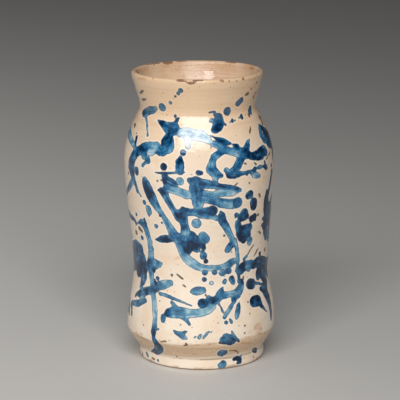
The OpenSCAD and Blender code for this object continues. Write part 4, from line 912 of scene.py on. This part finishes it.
LINING_WORN = [
    [(205, 249.3, 1), (210, 249, 1.4), (215, 249.5, 0.6)], [(226, 248.5, 0.8)],
    [(190, 249.7, 0.4), (200, 249.7, 0.5)], [(218, 249.7, 0.5), (236, 249.7, 0.4)],
    [(258, 247, 0.8), (266, 246.5, 1.3), (274, 246.2, 0.8)],
    [(96, 246.5, 0.4), (106, 247.3, 0.6), (118, 248, 0.4)], [(140, 249.7, 0.5), (152, 249.7, 0.4)],
    [(-20, 249.6, 0.7), (-14, 249.7, 0.9)], [(44.5, 249.6, 0.7)], [(166, 243, 0.6)], [(199, 238, 0.5)],
]
LINING_TURNS = 240
lining_face = (
    arc(LIP, LIP[2], 90, LIP_IN, 5)[:-1] + curve(INSIDE, 0.0, 110)[::-1]
    + arc(CORNER, CORNER[2], 0, -90, 16)[1:]
    + [(CORNER[0] * k / 16, FLOOR_Z) for k in range(15, -1, -1)])
lining_back = (
    [(CORNER[0] * k / 4, FLOOR_Z - GLAZE) for k in range(4)]
    + arc(CORNER, CORNER[2] + GLAZE, -90, 0, 8)[:-1]
    + [(curve_radius(INSIDE, z) + GLAZE, z) for z in BACK[::-1] + (INSIDE[-1][0],)]
    + arc(LIP, LIP[2] - GLAZE, LIP_IN, 90, 5)[1:] + [lining_face[0]])
inner_lining = thrown("jar_inner_glaze", lining_face + lining_back, LINING_TURNS)
angle, height = round_the_jar(inner_lining.data)
keep(inner_lining.data, "worn", laid_on(angle, height, LINING_WORN)[0])
lean(inner_lining)
bpy.data.objects.remove(cage)

LINING = shade("dcbc9a")
LINING_PINK = shade("d2ab8b")
LINING_PALE = shade("e6cfb6")
LINING_RUST = shade("c48e5e")
LINING_IOR = 1.5

poured_glaze, tree, spot = blank_material("poured_tin_glaze")
rings = put(tree, "Mapping", None, Vector=spot, Scale=(5.0, 5.0, 260.0)).outputs[0]
fine = cloud(tree, spot, 190.0, 3.0)
colour = over(tree, ease(tree, cloud(tree, spot, 40.0, 4.0), 0.35, 0.7), LINING, LINING_PINK)
colour = over(tree, ease(tree, cloud(tree, rings, 4.0, 3.0), 0.45, 0.75, 0.0, 0.5), colour, LINING_PALE)
at = put(tree, "SeparateXYZ", None, Vector=spot).outputs
rust = ease(tree, cloud(tree, spot, 60.0, 4.0), 0.45, 0.7, 0.0, 0.6)
rust = times(tree, ease(tree, at["Z"], 0.236, 0.249), rust)
colour = over(tree, rust, colour, LINING_RUST)
holes = specks(tree, 300.0, 0.22, 0.22)
colour = over(tree, times(tree, holes, 0.6), colour, PINHOLE)
worn = put(tree, "Attribute", {"attribute_name": "worn"}).outputs["Fac"]
chipped = ease(tree, calc(tree, "ADD", worn, scaled(tree, fine, 0.9, -0.45)), -0.2, 0.3)
colour = over(tree, times(tree, chipped, 0.85), colour, CHIP_BROWN)
# The lining is dull but for a smooth glossy run on the far wall, right of the middle
wander = scaled(tree, cloud(tree, spot, 240.0, 3.0), 0.006, calc(tree, "ADD", at["X"], -0.003))
run = times(tree, ease(tree, wander, 0.0, 0.002), ease(tree, wander, 0.0105, 0.0135, 1.0, 0.0))
run = times(tree, run, ease(tree, at["Z"], 0.2405, 0.243, 1.0, 0.0))
run = times(tree, run, ease(tree, at["Y"], 0.0, 0.01))
gloss = scaled(tree, run, -0.19, ease(tree, fine, 0.3, 0.75, 0.24, 0.34))
gloss = scaled(tree, chipped, 0.5, gloss)
ringed = scaled(tree, run, -1.1, 1.5)
relief = scaled(tree, cloud(tree, rings, 3.0, 3.0), ringed, cloud(tree, spot, 90.0, 3.0))
relief = scaled(tree, chipped, -0.8, scaled(tree, holes, -0.3, relief))
bump = put(tree, "Bump", None, Strength=0.4, Distance=0.0007, Height=relief)
surface = put(tree, "BsdfPrincipled", None, Base_Color=colour, Roughness=gloss, Normal=bump.outputs[0],
              IOR=LINING_IOR)
cover(inner_lining, poured_glaze, surface)
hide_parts("inner_glaze")
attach(inner_lining, "root")

# The studio.
# A plain pale floor, a large soft light in front and a little to the left, a weaker one high on the
# left, and very dim grey light from all round. The camera looks at the front, slightly from above.

FLOOR_PALE = shade("cfcdc9")
FLOOR_GREY = shade("c9c6c2")
FLOOR_SIZE = 14.0
FLOOR_DROP = 0.0001
bpy.ops.object.select_all(action="DESELECT")
bpy.ops.mesh.primitive_plane_add(size=FLOOR_SIZE, location=(0, 0, -FLOOR_DROP))
floor = bpy.context.object
floor.name = "studio_floor"
floor_paint, tree, spot = blank_material("floor_paint")
colour = over(tree, cloud(tree, spot, 1.5), FLOOR_PALE, FLOOR_GREY)
surface = put(tree, "BsdfPrincipled", None, Base_Color=colour, Roughness=0.6)
cover(floor, floor_paint, surface)

# Each light by its turn and rise from the front, its distance and size in metres, and its watts
KEY_TURN, KEY_RISE, KEY_FAR = math.radians(-10), math.radians(36.8), 2.0
KEY_AIM = 0.19
KEY_SIZE = (1.85, 0.88)
KEY_POWER = 43.5
SIDE_TURN, SIDE_RISE, SIDE_FAR = math.radians(-80), math.radians(45), 2.0
SIDE_SIZE = (1.4, 1.2)
SIDE_POWER = 32.0
FILL = 0.07


def softbox(name, turn, rise, far, size, power):
    """A soft rectangular light turned and raised from the jar's front, aimed at its upper half."""
    bpy.ops.object.light_add(
        type="AREA", rotation=(math.pi / 2 - rise, 0, -turn),
        location=(far * math.cos(rise) * math.sin(turn), -far * math.cos(rise) * math.cos(turn),
                  KEY_AIM + far * math.sin(rise)))
    lamp = bpy.context.object
    lamp.name = name
    lamp.data.shape = "RECTANGLE"
    lamp.data.size, lamp.data.size_y = size
    lamp.data.energy = power


softbox("studio_softbox", KEY_TURN, KEY_RISE, KEY_FAR, KEY_SIZE, KEY_POWER)
softbox("studio_side_light", SIDE_TURN, SIDE_RISE, SIDE_FAR, SIDE_SIZE, SIDE_POWER)
sky = bpy.data.worlds.new("studio_fill")
sky.use_nodes = True
sky.node_tree.nodes["Background"].inputs["Color"].default_value = (FILL, FILL, FILL, 1.0)
bpy.context.scene.world = sky

CAMERA_AT = (-0.0022, -1.53, 0.48)
CAMERA_TILT = math.radians(77.34)
CAMERA_LENS, CAMERA_SENSOR = 163.5, 36.0
bpy.ops.object.camera_add(location=CAMERA_AT, rotation=(CAMERA_TILT, 0, 0))
camera = bpy.context.object
camera.name = "studio_camera"
camera.data.sensor_width = CAMERA_SENSOR
camera.data.lens = CAMERA_LENS
bpy.context.scene.camera = camera
bpy.context.scene.view_settings.view_transform = "Standard"
